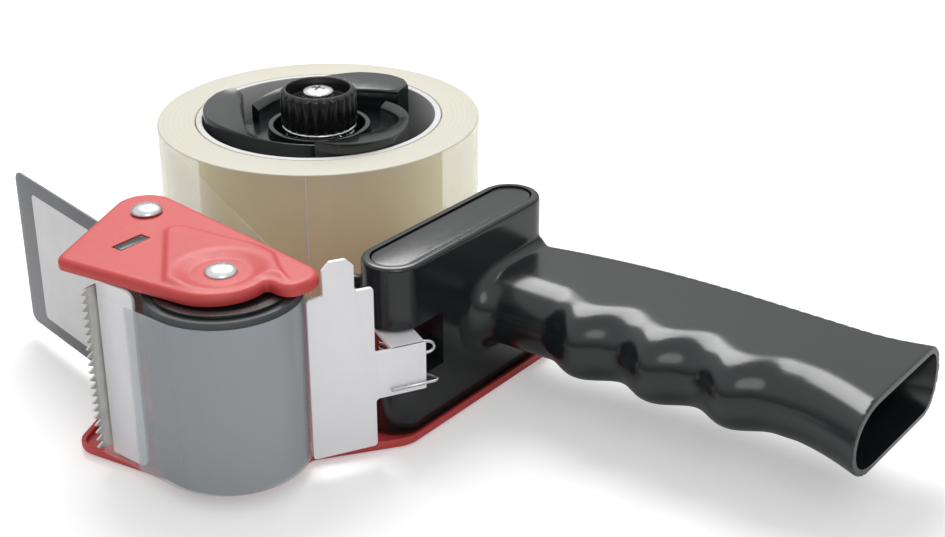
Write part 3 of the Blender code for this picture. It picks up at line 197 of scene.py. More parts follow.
def wound_ends():
    """The end faces of the roll: the edges of many turns of film, in fine rings."""
    made, tree, shader = tree_of("film_edges")
    spot = tree.nodes.new("ShaderNodeTexCoord").outputs["Object"]
    flat = add(tree, "ShaderNodeVectorMath", Vector=spot)
    flat.operation = "SUBTRACT"
    flat.inputs[1].default_value = (HUB_X * MM, HUB_Y * MM, 0.0)
    rings = add(tree, "ShaderNodeTexWave", Vector=flat.outputs["Vector"], Scale=190.0, Distortion=1.6,
                Detail=3.0)
    rings.wave_type = "RINGS"
    rings.rings_direction = "Z"
    soft = speckle(tree, 45.0)
    colour = mixed(tree, spread(tree, rings.outputs["Fac"], 0.0, 0.35, 0.0, 1.0),
                   (0.585, 0.565, 0.475), (0.535, 0.51, 0.415))
    colour = mixed(tree, spread(tree, soft, 0.0, 0.35), colour, (0.61, 0.60, 0.53))
    plug(tree, shader.inputs["Base Color"], colour)
    plug(tree, shader.inputs["Roughness"], spread(tree, rings.outputs["Fac"], 0.4, 0.56, 0.0, 1.0))
    relief = add(tree, "ShaderNodeBump", Strength=0.15, Distance=0.00004, Height=rings.outputs["Fac"])
    plug(tree, shader.inputs["Normal"], relief.outputs["Normal"])
    return made


def clear_film(name, colour, pale, opacity, rough, streak):
    """Film that lets what is behind it show, with streaks along its run and fine waves."""
    made, tree, shader = tree_of(name)
    lengths = speckle(tree, 26.0, stretch=(1.0, 1.0, streak))
    fine = speckle(tree, 260.0, stretch=(1.0, 1.0, 0.25))
    plug(tree, shader.inputs["Base Color"], mixed(tree, spread(tree, lengths, 0.0, 1.0), colour, pale))
    plug(tree, shader.inputs["Roughness"], spread(tree, fine, rough, rough + 0.08))
    plug(tree, shader.inputs["Alpha"], spread(tree, lengths, opacity - 0.05, opacity + 0.05))
    relief = add(tree, "ShaderNodeBump", Strength=0.1, Distance=0.00004, Height=fine)
    plug(tree, shader.inputs["Normal"], relief.outputs["Normal"])
    return made


ENDS = wound_ends()
ROLL_FILM = clear_film("roll_film", (0.90, 0.85, 0.64), (0.94, 0.90, 0.72), 0.54, 0.16, 0.1)
# The film on the roller and beside it, up to the guide plate: a grey at part opacity, partly the film's
# own haze and partly painted reflection of the bright surroundings, seen against the dark rubber behind
STRAND_HAZE_AND_REFLECTION = clear_film("film_on_roller_haze_and_painted_reflection", (0.50, 0.54, 0.575), (0.56, 0.60, 0.635), 0.42, 0.12, 0.12)
FREE_FILM = clear_film("free_film", (0.70, 0.71, 0.72), (0.76, 0.77, 0.78), 0.09, 0.10, 0.12)


# ---------------------------------------------------------------- shapes

def piece(name, mesh, body, materials, nodes=(), smooth_angle=38.0):
    """Makes a mesh in hub millimetres a piece of the object: placed, painted, riding on a body."""
    mesh.transform(Matrix.Translation((HUB_X * MM, HUB_Y * MM, 0.0)) @ Matrix.Diagonal((MM, MM, MM, 1.0)))
    shown = bpy.data.objects.new(name, mesh)
    bpy.context.scene.collection.objects.link(shown)
    for paint in materials:
        mesh.materials.append(paint)
    mesh.shade_smooth()
    mesh.set_sharp_from_angle(angle=math.radians(smooth_angle))
    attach(shown, body)
    if nodes:
        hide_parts(*nodes)
    return shown


def mesh_of(shell):
    """A mesh from a bmesh, with its normals outward."""
    bmesh.ops.recalc_face_normals(shell, faces=shell.faces)
    mesh = bpy.data.meshes.new("shape")
    shell.to_mesh(mesh)
    shell.free()
    return mesh


def evaluated(mesh, *modifiers):
    """The mesh after modifiers, each given as (type, {settings})."""
    holder = bpy.data.objects.new("holder", mesh)
    bpy.context.scene.collection.objects.link(holder)
    for kind, settings in modifiers:
        modifier = holder.modifiers.new(kind, kind)
        for key, value in settings.items():
            setattr(modifier, key, value)
    bpy.context.view_layer.update()
    made = bpy.data.meshes.new_from_object(holder.evaluated_get(bpy.context.evaluated_depsgraph_get()))
    bpy.data.objects.remove(holder, do_unlink=True)
    return made


def combined(mesh, operation, *others):
    """The mesh after a Boolean with each other mesh."""
    holders = []
    for other in others:
        holder = bpy.data.objects.new("tool", other)
        bpy.context.scene.collection.objects.link(holder)
        holders.append(holder)
    steps = [("BOOLEAN", {"operation": operation, "solver": "EXACT", "object": holder})
             for holder in holders]
    made = evaluated(mesh, *steps)
    for holder in holders:
        bpy.data.objects.remove(holder, do_unlink=True)
    return made


def bevelled(mesh, width, segments):
    """The mesh with its edges rounded."""
    return evaluated(mesh, ("BEVEL", {"width": width, "segments": segments, "limit_method": "ANGLE",
                                      "angle_limit": math.radians(40)}))


def joined(*meshes):
    """Several meshes as one."""
    shell = bmesh.new()
    for mesh in meshes:
        shell.from_mesh(mesh)
    made = bpy.data.meshes.new("joined")
    shell.to_mesh(made)
    shell.free()
    return made


def moved(mesh, turn, location=(0.0, 0.0, 0.0)):
    """The mesh turned about Z and moved."""
    mesh.transform(Matrix.Translation(location) @ Matrix.Rotation(turn, 4, "Z"))
    return mesh


def rounded(corners, inset=0.0, step=math.radians(5)):
    """Points of a closed outline, given counter-clockwise as corners (x, y, rounding)."""
    points = []
    count = len(corners)
    for index, (x, y, rounding) in enumerate(corners):
        here = Vector((x, y))
        before = (here - Vector(corners[index - 1][:2])).normalized()
        after = (Vector(corners[(index + 1) % count][:2]) - here).normalized()
        turn = math.atan2(before.x * after.y - before.y * after.x, before.dot(after))
        side = math.copysign(1.0, turn)
        before_left = Vector((-before.y, before.x))
        after_left = Vector((-after.y, after.x))
        here = here + (before_left + after_left) * inset / (1 + before_left.dot(after_left))
        radius = max(rounding - side * inset, 0.0)
        run = radius * math.tan(abs(turn) / 2)
        centre = here - before * run + before_left * side * radius
        arm = (here - before * run) - centre
        steps = max(1, math.ceil(abs(turn) / step)) if rounding else 0
        for k in range(steps + 1):
            angle = turn * k / steps if steps else 0.0
            points.append((centre.x + arm.x * math.cos(angle) - arm.y * math.sin(angle),
                           centre.y + arm.x * math.sin(angle) + arm.y * math.cos(angle)))
    return points


def box_outline(low_x, low_y, high_x, high_y, rounding=0.0):
    """Outline of a rectangle."""
    return rounded([(low_x, low_y, rounding), (high_x, low_y, rounding),
                    (high_x, high_y, rounding), (low_x, high_y, rounding)])


def slab(outline, low, high, edge=0.0, segments=3):
    """An outline given thickness along Z, with rounded edges."""
    shell = bmesh.new()
    base = shell.faces.new([shell.verts.new((x, y, low)) for x, y in outline])
    risen = bmesh.ops.extrude_face_region(shell, geom=[base])["geom"]
    for item in risen:
        if isinstance(item, bmesh.types.BMVert):
            item.co.z = high
    made = mesh_of(shell)
    return bevelled(made, edge, segments) if edge else made


def upright(outline, thickness, location, heading, edge=0.0):
    """A sheet on edge: an outline of (run, height), turned to a heading."""
    made = slab(outline, -thickness / 2, thickness / 2, edge, 2)
    made.transform(Matrix.Translation(location) @ Matrix.Rotation(heading, 4, "Z")
                   @ Matrix.Rotation(math.pi / 2, 4, "X"))
    return made


def lathe(profile, centre=(0.0, 0.0), steps=96, closed=False):
    """A profile of (radius, z) turned about an upright axis."""
    shell = bmesh.new()
    rings = []
    for radius, z in profile:
        if radius < 1e-6:
            rings.append([shell.verts.new((centre[0], centre[1], z))])
            continue
        rings.append([shell.verts.new((centre[0] + radius * math.cos(2 * math.pi * k / steps),
                                       centre[1] + radius * math.sin(2 * math.pi * k / steps), z))
                      for k in range(steps)])
    pairs = list(zip(rings, rings[1:]))
    if closed:
        pairs.append((rings[-1], rings[0]))
    for lower, upper in pairs:
        for k in range(steps):
            ring = [lower[k % len(lower)], lower[(k + 1) % len(lower)],
                    upper[(k + 1) % len(upper)], upper[k % len(upper)]]
            shell.faces.new(list(dict.fromkeys(ring)))
    return mesh_of(shell)


def eased(corners, radius, steps=4):
    """A profile whose inner corners are rounded off."""
    made = [corners[0]]
    for before, here, after in zip(corners, corners[1:], corners[2:]):
        before, here, after = Vector(before), Vector(here), Vector(after)
        back, on = before - here, after - here
        reach = min(radius, back.length / 2, on.length / 2)
        start, end = here + back.normalized() * reach, here + on.normalized() * reach
        for k in range(steps + 1):
            t = k / steps
            made.append(tuple(start * (1 - t) ** 2 + here * 2 * t * (1 - t) + end * t ** 2))
    return made + [corners[-1]]


def ring_profile(outer, inner, low, high, rounding):
    """Profile of a tube whose edges are rounded, as a closed loop."""
    corners = [(outer, (low + high) / 2), (outer, high), (inner, high), (inner, low), (outer, low),
               (outer, (low + high) / 2)]
    return eased(corners, rounding)[:-1]


def lofted(rings, closed=False):
    """A solid skin through rings of equally many points, capped or closed on itself."""
    shell = bmesh.new()
    loops = [[shell.verts.new(point) for point in ring] for ring in rings]
    count = len(rings[0])
    for lower, upper in zip(loops, loops[1:] + loops[:1] if closed else loops[1:]):
        for k in range(count):
            following = (k + 1) % count
            shell.faces.new((lower[k], lower[following], upper[following], upper[k]))
    if not closed:
        shell.faces.new(list(reversed(loops[0])))
        shell.faces.new(loops[-1])
    return mesh_of(shell)


def tube(points, thickness):
    """A round wire with closed ends through a list of points."""
    curve = bpy.data.curves.new("wire", "CURVE")
    curve.dimensions = "3D"
    curve.bevel_depth = thickness / 2
    curve.bevel_resolution = 3
    curve.use_fill_caps = True
    curve.twist_mode = "MINIMUM"
    spline = curve.splines.new("POLY")
    spline.points.add(len(points) - 1)
    for point, here in zip(spline.points, points):
        point.co = (*here, 1.0)
    holder = bpy.data.objects.new("wire", curve)
    bpy.context.scene.collection.objects.link(holder)
    bpy.context.view_layer.update()
    made = bpy.data.meshes.new_from_object(holder.evaluated_get(bpy.context.evaluated_depsgraph_get()))
    bpy.data.objects.remove(holder, do_unlink=True)
    return made


def softened(points):
    """Cuts the corners of a wire's route three times to make its bends round."""
    for _ in range(3):
        rounder = [points[0]]
        for here, there in zip(points, points[1:]):
            rounder += [here.lerp(there, 0.25), here.lerp(there, 0.75)]
        points = rounder + [points[-1]]
    return points


def on_head(shares):
    """A place on the head of the plates, from its shares."""
    return ROLLER[0] + shares[0] * HEAD_LENGTH, ROLLER[1] + shares[1] * HEAD_DEPTH


def step_up(value):
    """A smooth step from none to all."""
    value = min(max(value, 0.0), 1.0)
    return value * value * (3 - 2 * value)


def edge_distance(x, y, loop):
    """Signed distance to a closed polygon, positive inside."""
    loop = np.asarray(loop)
    here = np.array((x, y))
    start, end = loop, np.roll(loop, -1, axis=0)
    along = end - start
    share = ((here - start) * along).sum(1) / (along ** 2).sum(1)
    nearest = start + along * np.clip(share, 0, 1)[:, None]
    least = np.sqrt(((here - nearest) ** 2).sum(1)).min()
    crossing = (start[:, 1] > y) != (end[:, 1] > y)
    meets = start[:, 0] + (y - start[:, 1]) * along[:, 0] / np.where(crossing, along[:, 1], 1.0)
    inside = np.count_nonzero(crossing & (x < meets)) % 2
    return least if inside else -least


# How a sheet's grid keeps clear of its outlines and how close its rows lie, as shares of its spacing
EDGE_SHARE = 0.45
SLOT_SHARE = 0.4
ROW_SHARE = 0.87
# The fold's steps, the run over which a rim fades to a flat edge, and the lip's height and lean
FOLD_STEPS = 5
FLAT_RUN = 6.0
LIP_HEIGHT = 0.35
LIP_LEAN = 0.12
# Points nearer than this become one
WELD = 0.002


def pressed(corners, level, side, spacing, relief, slot, flat_radius=0.0):
    """A pressed sheet: its face with relief, its rounded fold and its rim, of the plate's gauge.

    The rim turns to the given side, and fades to a flat edge inside flat_radius of the hub.
    """
    face_loop = rounded(corners, FOLD)
    edge_loop = rounded(corners)
    low = np.min(face_loop, axis=0)
    high = np.max(face_loop, axis=0)
    places = [Vector(point) for point in face_loop]
    edges = [(k, (k + 1) % len(face_loop)) for k in range(len(face_loop))]
    first = len(places)
    places += [Vector(point) for point in slot]
    edges += [(first + k, first + (k + 1) % len(slot)) for k in range(len(slot))]
    row = 0
    y = low[1]
    while y < high[1]:
        x = low[0] + (spacing / 2 if row % 2 else 0.0)
        while x < high[0]:
            if (edge_distance(x, y, face_loop) > EDGE_SHARE * spacing
                    and edge_distance(x, y, slot) < -SLOT_SHARE * spacing):
                places.append(Vector((x, y)))
            x += spacing
        y += spacing * ROW_SHARE
        row += 1
    flat, _, faces, *_ = geometry.delaunay_2d_cdt(places, edges, [], 1, 1e-5)
    shell = bmesh.new()
    verts = []
    for point in flat:
        inner = edge_distance(point.x, point.y, face_loop)
        verts.append(shell.verts.new((point.x, point.y, level + relief(point.x, point.y, inner))))
    for corners_of_face in faces:
        middle = sum((flat[k] for k in corners_of_face), Vector((0.0, 0.0))) / 3
        if edge_distance(middle.x, middle.y, slot) <= 0:
            shell.faces.new([verts[k] for k in corners_of_face])
    before = verts[:len(face_loop)]
    turns = [(FOLD * (1 - math.sin(a)), FOLD * (1 - math.cos(a)))
             for a in (math.pi / 2 * k / FOLD_STEPS for k in range(1, FOLD_STEPS + 1))]
    turns += [(0.0, RIM - LIP_HEIGHT), (LIP_LEAN, RIM)]
    for reach, drop in turns:
        ring = []
        for (fx, fy), (ex, ey) in zip(face_loop, edge_loop):
            fold = step_up((math.hypot(fx, fy) - flat_radius) / FLAT_RUN) if flat_radius else 1.0
            share_out = 1.0 - reach * (fold if drop == RIM else 1.0) / FOLD
            ring.append(shell.verts.new((fx + (ex - fx) * share_out, fy + (ey - fy) * share_out,
                                         level + side * drop * fold)))
        for k in range(len(ring)):
            following = (k + 1) % len(ring)
            shell.faces.new((before[k], before[following], ring[following], ring[k]))
        before = ring
    bmesh.ops.remove_doubles(shell, verts=shell.verts, dist=WELD)
    bmesh.ops.recalc_face_normals(shell, faces=shell.faces)
    upward = sum(face.normal.z * face.calc_area() for face in shell.faces)
    if (upward > 0) != (side < 0):
        bmesh.ops.reverse_faces(shell, faces=shell.faces)
    mesh = bpy.data.meshes.new("pressed")
    shell.to_mesh(mesh)
    shell.free()
    return evaluated(mesh, ("SOLIDIFY", {"thickness": PLATE, "offset": -1.0}))


# ---------------------------------------------------------------- plates

TIP = on_head((-0.725, -0.995))
SPACER = on_head((-0.775, 0.657))
HOLDER = on_head((-0.566, -0.105))
SLOT_HALF_WIDTH = 1.95
SLOT_HALF_LENGTH = 5.2
SLOT_OUTLINE = box_outline(HOLDER[0] - SLOT_HALF_WIDTH, HOLDER[1] - SLOT_HALF_LENGTH,
                           HOLDER[0] + SLOT_HALF_WIDTH, HOLDER[1] + SLOT_HALF_LENGTH)
CHEEK_GRID = 0.8
SIDE_GRID = 2.6
SIDE_FLAT_RADIUS = 58.0
SIDE_MARGIN = 2.2
# Corners of the two plates, each with its rounding
CHEEK_CORNERS = [
    (*TIP, 4.0), (ROLLER[0] + 15.0, ROLLER[1] - 0.629 * HEAD_DEPTH, 15.0),
    (*on_head((0.235, 0.152)), 1.2), (*on_head((0.375, 0.135)), 4.6),
    (*on_head((0.42, 0.76)), 7.0), (*on_head((-1.109, 1.319)), 9.0),
]
SIDE_EDGE = BLOCK_X + BLOCK_HALF + SIDE_MARGIN
SIDE_CORNERS = [
    (*TIP, 6.0), (ROLLER[0] + 16.5, ROLLER[1] - 0.61 * HEAD_DEPTH, 16.5),
    (*on_head((0.28, 0.69)), 3.0), (SIDE_EDGE, BLOCK_NEAR + 2.0, 10.0),
    (SIDE_EDGE, BLOCK_FAR + SIDE_MARGIN, BLOCK_HALF + SIDE_MARGIN), (-30.0, 30.0, 20.0),
    (*on_head((-1.005, 0.7)), 20.0),
]
# Outline of the raised panel, and the radii and depths of the dish round the axle
PANEL = [(66.5, -130.2), (38.7, -103.4), (39.0, -100.6), (41.0, -99.2), (46.6, -98.2), (56.6, -97.0),
         (67.5, -94.8), (71.0, -95.2), (74.6, -98.3), (80.5, -102.5), (100.0, -113.0), (100.0, -140.0)]
PANEL_RISE = 0.9
PANEL_LEAD = 0.3
PANEL_SLOPE = 1.1
PANEL_MARGIN = 3.0
DISH_OUTER = 13.0
DISH_FLOOR = 7.6
DISH_SINK = 0.35
GROOVE = 0.16
GROOVE_RADIUS = 7.9
GROOVE_WIDTH = 0.45
SIDE_DISH = 1.5
SIDE_DISH_SLOPE = 2.0
# The lug that stands up in the block, as low and high x, y and z
LUG = ((83.0, 84.2), (-72.5, -64.0), (0.6, 40.7))


def cheek_relief(x, y, inner):
    """The raised panel, and the dish round the rivet."""
    rise = (PANEL_RISE * step_up((edge_distance(x, y, PANEL) + PANEL_LEAD) / PANEL_SLOPE)
            * step_up(inner / PANEL_MARGIN))
    away = math.hypot(x - ROLLER[0], y - ROLLER[1])
    sink = step_up((DISH_OUTER - away) / (DISH_OUTER - DISH_FLOOR))
    groove = GROOVE * math.exp(-((away - GROOVE_RADIUS) / GROOVE_WIDTH) ** 2)
    return rise * (1 - sink) - DISH_SINK * sink - groove


def side_relief(x, y, inner):
    """The dish round the rivet, seen from below."""
    away = math.hypot(x - ROLLER[0], y - ROLLER[1])
    return SIDE_DISH * step_up((DISH_OUTER - away) / SIDE_DISH_SLOPE)


def plates():
    """Both pressed plates."""
    cheek = pressed(CHEEK_CORNERS, CHEEK_TOP, -1, CHEEK_GRID, cheek_relief, SLOT_OUTLINE)
    piece("cheek_plate_dressed", cheek, "frame", [RED], ["cheek_plate"], 50.0)
    side = pressed(SIDE_CORNERS, 0.0, 1, SIDE_GRID, side_relief, SLOT_OUTLINE, SIDE_FLAT_RADIUS)
    (low_x, high_x), (low_y, high_y), (low, high) = LUG
    lug = slab(box_outline(low_x, low_y, high_x, high_y), low, high, 0.25)
    piece("side_plate_dressed", joined(side, lug), "frame", [RED], ["side_plate"], 50.0)


# ---------------------------------------------------------------- head: rivets, roller, blade, flap

def dome(radius, base, height):
    """Profile of a domed head, from its crown to its rim."""
    return [(radius * math.sin(a), base + height * math.cos(a))
            for a in (math.pi / 2 * k / 8 for k in range(9))]


RIVET_RADIUS = 4.4
RIVET_RIM = 4.25
RIVET_CROWN = 1.85
RIVET_EDGE = 0.2
SHANK_RADIUS = 2.5
POST_RADIUS = 4.2
AXLE_FOOT = (4.0, 0.3)


def rivets():
    """The domed heads of the axle and the spacer, and their shanks."""
    axle = [(SHANK_RADIUS, PLATE), (RIVET_RIM, PLATE), AXLE_FOOT, (0.0, AXLE_FOOT[1])]
    spacer = [(SHANK_RADIUS, CHEEK_FACE - FIT), (POST_RADIUS, CHEEK_FACE - FIT),
              (POST_RADIUS, PLATE + FIT), (SHANK_RADIUS, PLATE + FIT), (SHANK_RADIUS, PLATE),
              (RIVET_RIM, 0.0), (0.0, 0.0)]
    for name, spot, seat, lower in (("roller_axle", ROLLER, CHEEK_TOP - 0.5, axle),
                                    ("rear_spacer", SPACER, CHEEK_TOP + FIT, spacer)):
        profile = dome(RIVET_RADIUS, seat + RIVET_EDGE, RIVET_CROWN)
        profile += [(RIVET_RIM, seat), (SHANK_RADIUS, seat)] + lower
        piece(name + "_dressed", lathe(profile, spot, 48), "frame", [STEEL], [name], 45.0)


# Profile of a cap as (radius, distance from its end of the roller)
CAP_PROFILE = [(3.0, 7.6), (3.0, 3.5), (6.0, 3.5), (6.6, 4.0), (15.4, 4.0), (16.0, 3.5), (18.5, 3.5),
               (18.5, 4.3), (15.7, 4.3), (15.7, 7.6)]


def roller():
    """The rubber sleeve and the end caps of the roller."""
    sleeve = lathe(ring_profile(ROLLER_RADIUS, SLEEVE_BORE, SLEEVE_END, CHEEK_TOP - SLEEVE_END, 0.5),
                   ROLLER, 128, closed=True)
    piece("roller_sleeve_dressed", sleeve, "roller", [RUBBER], ["roller_sleeve"])
    for name, flip in (("roller_end_cap_top", True), ("roller_end_cap_bottom", False)):
        profile = [(radius, CHEEK_TOP - z if flip else z) for radius, z in CAP_PROFILE]
        cap = lathe(profile, ROLLER, 96, closed=True)
        piece(name + "_dressed", cap, "roller", [BLACK_SATIN], [name])


# The flap holder: its tabs, and the bar between the plates
TAB_HALF_WIDTH = 1.65
TAB_HALF_LENGTH = 4.9
TAB_TOP = 58.95
BAR_WIDTH = 4.6
BAR_LENGTH = 12.5
# The blade, and the points of a tooth as (share of its height, share of the pitch)
BLADE_GAUGE = 0.7
BLADE_X = HOLDER[0] + TAB_HALF_WIDTH + 0.6 + BLADE_GAUGE / 2
BLADE_LENGTH = 48.0
BLADE_WIDTH = 21.5
TEETH = 21
TOOTH = 2.2
TOOTH_SHAPE = [(0.93, 0.42), (1.0, 0.5), (0.93, 0.58)]
FACE_Y = ROLLER[1] - 0.867 * HEAD_DEPTH
BLADE_TIP = FACE_Y - 4.4
# The guide plate and its flange
GUIDE_GAUGE = 1.0
GUIDE_WIDTH = 14.0
GUIDE_CORNER = 3.0
GUIDE_LOW = 3.5
GUIDE_HIGH = 55.5
FLANGE_DEPTH = 11.0
# The flap and its label
FLAP_TURN = math.radians(168.1)
FLAP_SEAT = 2.8
FLAP_LENGTH = 76.0
FLAP_LOW = 4.6
FLAP_HIGH = 54.4
FLAP_GAUGE = 0.8
LABEL_BOX = (7.0, 9.0, 66.0, 50.0)
LABEL_OUT = 0.46


def head_sheets():
    """The guide plate, the toothed blade, the flap holder and the flap with its label."""
    left = BLADE_X + BLADE_GAUGE / 2 + FIT
    guide = upright(rounded([(0.5, GUIDE_LOW, 0.0), (GUIDE_WIDTH, GUIDE_LOW, GUIDE_CORNER),
                             (GUIDE_WIDTH, GUIDE_HIGH, GUIDE_CORNER), (0.5, GUIDE_HIGH, 0.0)]),
                    GUIDE_GAUGE, (left, FACE_Y + GUIDE_GAUGE / 2, 0.0), 0.0, 0.18)
    near, right = FACE_Y + 0.1, left + GUIDE_GAUGE
    flange = slab(rounded([(left, near, 0.6), (right, near, 0.0), (right, FACE_Y + FLANGE_DEPTH, 0.0),
                           (left, FACE_Y + FLANGE_DEPTH, 0.0)]), GUIDE_LOW, GUIDE_HIGH, 0.12)
    piece("guide_plate_dressed", joined(guide, flange), "frame", [BRIGHT],
          ["guide_plate"])

    bottom = (CHEEK_TOP - BLADE_LENGTH) / 2
    pitch = BLADE_LENGTH / TEETH
    root = BLADE_WIDTH - TOOTH
    outline = [(0.0, bottom), (0.0, bottom + BLADE_LENGTH)]
    for number in range(TEETH, 0, -1):
        outline.append((root, bottom + pitch * number))
        outline += [(root + TOOTH * reach, bottom + pitch * (number - share))
                    for reach, share in TOOTH_SHAPE]
    outline.append((root, bottom))
    blade = upright(outline[::-1], BLADE_GAUGE, (BLADE_X, BLADE_TIP + BLADE_WIDTH, 0.0), -math.pi / 2,
                    0.06)
    piece("cutting_blade_dressed", blade, "frame", [BLADE_STEEL], ["cutting_blade"])

    left, right = HOLDER[0] + SLOT_HALF_WIDTH - BAR_WIDTH, HOLDER[0] + SLOT_HALF_WIDTH
    near = HOLDER[1] - TAB_HALF_LENGTH
    bar = slab(box_outline(left, near, right, near + BAR_LENGTH), PLATE + FIT, CHEEK_FACE - FIT, 0.3)
    tab = slab(box_outline(HOLDER[0] - TAB_HALF_WIDTH, near, HOLDER[0] + TAB_HALF_WIDTH,
                           HOLDER[1] + TAB_HALF_LENGTH), FIT, TAB_TOP, 0.3)
    piece("flap_holder_dressed", joined(bar, tab), "frame", [BLACK_SATIN],
          ["flap_holder"])

    start = Vector((left + FLAP_SEAT, near + BAR_LENGTH - FLAP_SEAT, 0.0))
    flap = upright(rounded([(0.0, FLAP_LOW, 0.0), (FLAP_LENGTH, FLAP_LOW, 3.0),
                            (FLAP_LENGTH, FLAP_HIGH, 3.0), (0.0, FLAP_HIGH, 0.0)]),
                   FLAP_GAUGE, start, FLAP_TURN, 0.2)
    piece("wiper_flap_dressed", flap, "frame", [SHEET], ["wiper_flap"])
    out = Vector((-math.sin(FLAP_TURN), math.cos(FLAP_TURN), 0.0))
    label = upright(box_outline(*LABEL_BOX, 1.5), 0.1, start + out * LABEL_OUT, FLAP_TURN)
    piece("flap_label", label, "frame", [LABEL])


# ---------------------------------------------------------------- tape

SEAM_TURN = math.radians(-52.3)
SEAM_HALF = 0.18
WRAP_STEPS = 90
RUN_STEPS = 12
STRAND_ROWS = 24


def tape():
    """The roll with its see-through film, its core, and the film over the roller."""
    profile = ring_profile(TAPE_RADIUS, CORE_OUTER + FIT, TAPE_LOW, TAPE_TOP, 0.5)
    roll = lathe(profile, steps=160, closed=True)
    for face in roll.polygons:
        away = math.hypot(face.center.x, face.center.y)
        if abs(face.normal.z) > 0.35:
            face.material_index = 0
        else:
            face.material_index = 1 if away > CORE_OUTER + 2 else 2
    piece("tape_roll_dressed", roll, "hub", [ENDS, ROLL_FILM, WOUND], ["tape_roll"])
    seam = slab(box_outline(TAPE_RADIUS - 0.1, -SEAM_HALF, TAPE_RADIUS + 0.05, SEAM_HALF),
                10.0, TAPE_TOP - 1.0)
    piece("roll_seam", moved(seam, SEAM_TURN), "hub", [LABEL])
    core = lathe(ring_profile(CORE_OUTER, CORE_BORE, TAPE_LOW, TAPE_TOP, 0.35), steps=128, closed=True)
    piece("tape_core_dressed", core, "hub", [CARD], ["tape_core"])

    at_roll = TAPE_RADIUS + FIT + FILM / 2
    at_roller = ROLLER_RADIUS + FIT + FILM / 2
    apart = math.hypot(*ROLLER)
    leaving = math.atan2(ROLLER[1], ROLLER[0]) - math.acos((at_roll + at_roller) / apart)
    path = [(at_roll * math.cos(leaving), at_roll * math.sin(leaving))]
    turn = leaving + math.pi + math.pi / 2
    for k in range(WRAP_STEPS + 1):
        angle = leaving + math.pi - turn * k / WRAP_STEPS
        path.append((ROLLER[0] + at_roller * math.cos(angle), ROLLER[1] + at_roller * math.sin(angle)))
    last = path[-1]
    run = BLADE_X + BLADE_GAUGE / 2 + 0.5 - last[0]
    path += [(last[0] + run * k / RUN_STEPS, last[1]) for k in range(1, RUN_STEPS + 1)]
    heights = [TAPE_LOW + (TAPE_TOP - TAPE_LOW) * k / STRAND_ROWS for k in range(STRAND_ROWS + 1)]
    rings = []
    for index, here in enumerate(path):
        before = Vector(path[max(index - 1, 0)])
        after = Vector(path[min(index + 1, len(path) - 1)])
        along = (after - before).normalized()
        side = Vector((-along.y, along.x)) * FILM / 2
        rings.append([(here[0] + side.x, here[1] + side.y, z) for z in heights]
                     + [(here[0] - side.x, here[1] - side.y, z) for z in reversed(heights)])
    strand = lofted(rings)
    # Faces on the roller and between it and the guide plate's edge take the grey film with its painted
    # reflection; those over the guide take the nearly clear film
    for face in strand.polygons:
        near = math.hypot(face.center.x - ROLLER[0], face.center.y - ROLLER[1])
        beside = face.center.y < ROLLER[1] and BLADE_X + 14.6 < face.center.x
        face.material_index = 0 if near < at_roller + 0.5 or beside else 1
    piece("tape_strand_dressed", strand, "frame", [STRAND_HAZE_AND_REFLECTION, FREE_FILM],
          ["tape_strand"])


# ---------------------------------------------------------------- hub

# Outer and inner edges of a vane along its sweep, as shares of the core's bore less the fit
VANE_OUTER = (0.9, 0.975, 1.0, 1.0, 0.985, 0.93, 0.87, 0.82, 0.79, 0.76, 0.735, 0.71, 0.69)
VANE_INNER = (0.795, 0.73, 0.69, 0.66, 0.65, 0.66, 0.68, 0.69, 0.69, 0.67, 0.65, 0.63, 0.62)
# Where the first vane starts and how far it sweeps, in degrees, and its heights
VANE_START = 190.0
VANE_SWEEP = 122.0
VANE_FOOT = 3.4
VANE_TOP = TAPE_TOP + 4.2
VANE_FALL = 4.5
VANE_LEAN = 2.2
VANE_STEPS = 48


def vane(number):
    """One curved vane, its top edge falling, with rounded edges."""
    rings = []
    reach = CORE_BORE - FIT
    for k in range(VANE_STEPS + 1):
        share = k / VANE_STEPS
        at = share * (len(VANE_OUTER) - 1)
        outer = reach * np.interp(at, range(len(VANE_OUTER)), VANE_OUTER)
        inner = reach * np.interp(at, range(len(VANE_INNER)), VANE_INNER)
        angle = math.radians(VANE_START + VANE_SWEEP * share + 120 * number)
        top = VANE_TOP - VANE_FALL * share
        corners = [(outer, VANE_FOOT), (outer, top), (inner, top - VANE_LEAN), (inner, VANE_FOOT)]
        profile = eased(corners, 0.9, 3)
        rings.append([(radius * math.cos(angle), radius * math.sin(angle), z) for radius, z in profile])
    return lofted(rings)


def hub():
    """The wheel in the core: flange, barrel with its well, web and three vanes."""
    rim = TAPE_TOP - WELL_RIM_DROP
    web = TAPE_TOP - WEB_DROP
    under = web - WEB_THICKNESS
    floor = rim - WELL_DEPTH
    middle = (BARREL_RADIUS, (rim + web) / 2)
    corners = [middle, (BARREL_RADIUS, web), (WEB_RADIUS, web), (WEB_RADIUS, under),
               (BARREL_RADIUS, under), (BARREL_RADIUS, HUB_FLANGE_TOP),
               (HUB_FLANGE_RADIUS, HUB_FLANGE_TOP), (HUB_FLANGE_RADIUS, HUB_BOTTOM),
               (HUB_BORE, HUB_BOTTOM), (HUB_BORE, floor), (WELL_RADIUS, floor), (WELL_RADIUS, rim),
               (BARREL_RADIUS, rim), middle]
    wheel = lathe(eased(corners, 0.4, 3)[:-1], closed=True)
    made = combined(wheel, "UNION", *[vane(number) for number in range(3)])
    piece("hub_core_dressed", made, "hub", [BLACK],
          ["hub_core", "hub_flange", "hub_vanes"], 34.0)


KNOB_RIBS = 24
RIB_STEPS = 8
RIB_DEPTH = 0.75
KNOB_RECESS = 4.5
KNOB_BORE = 4.3
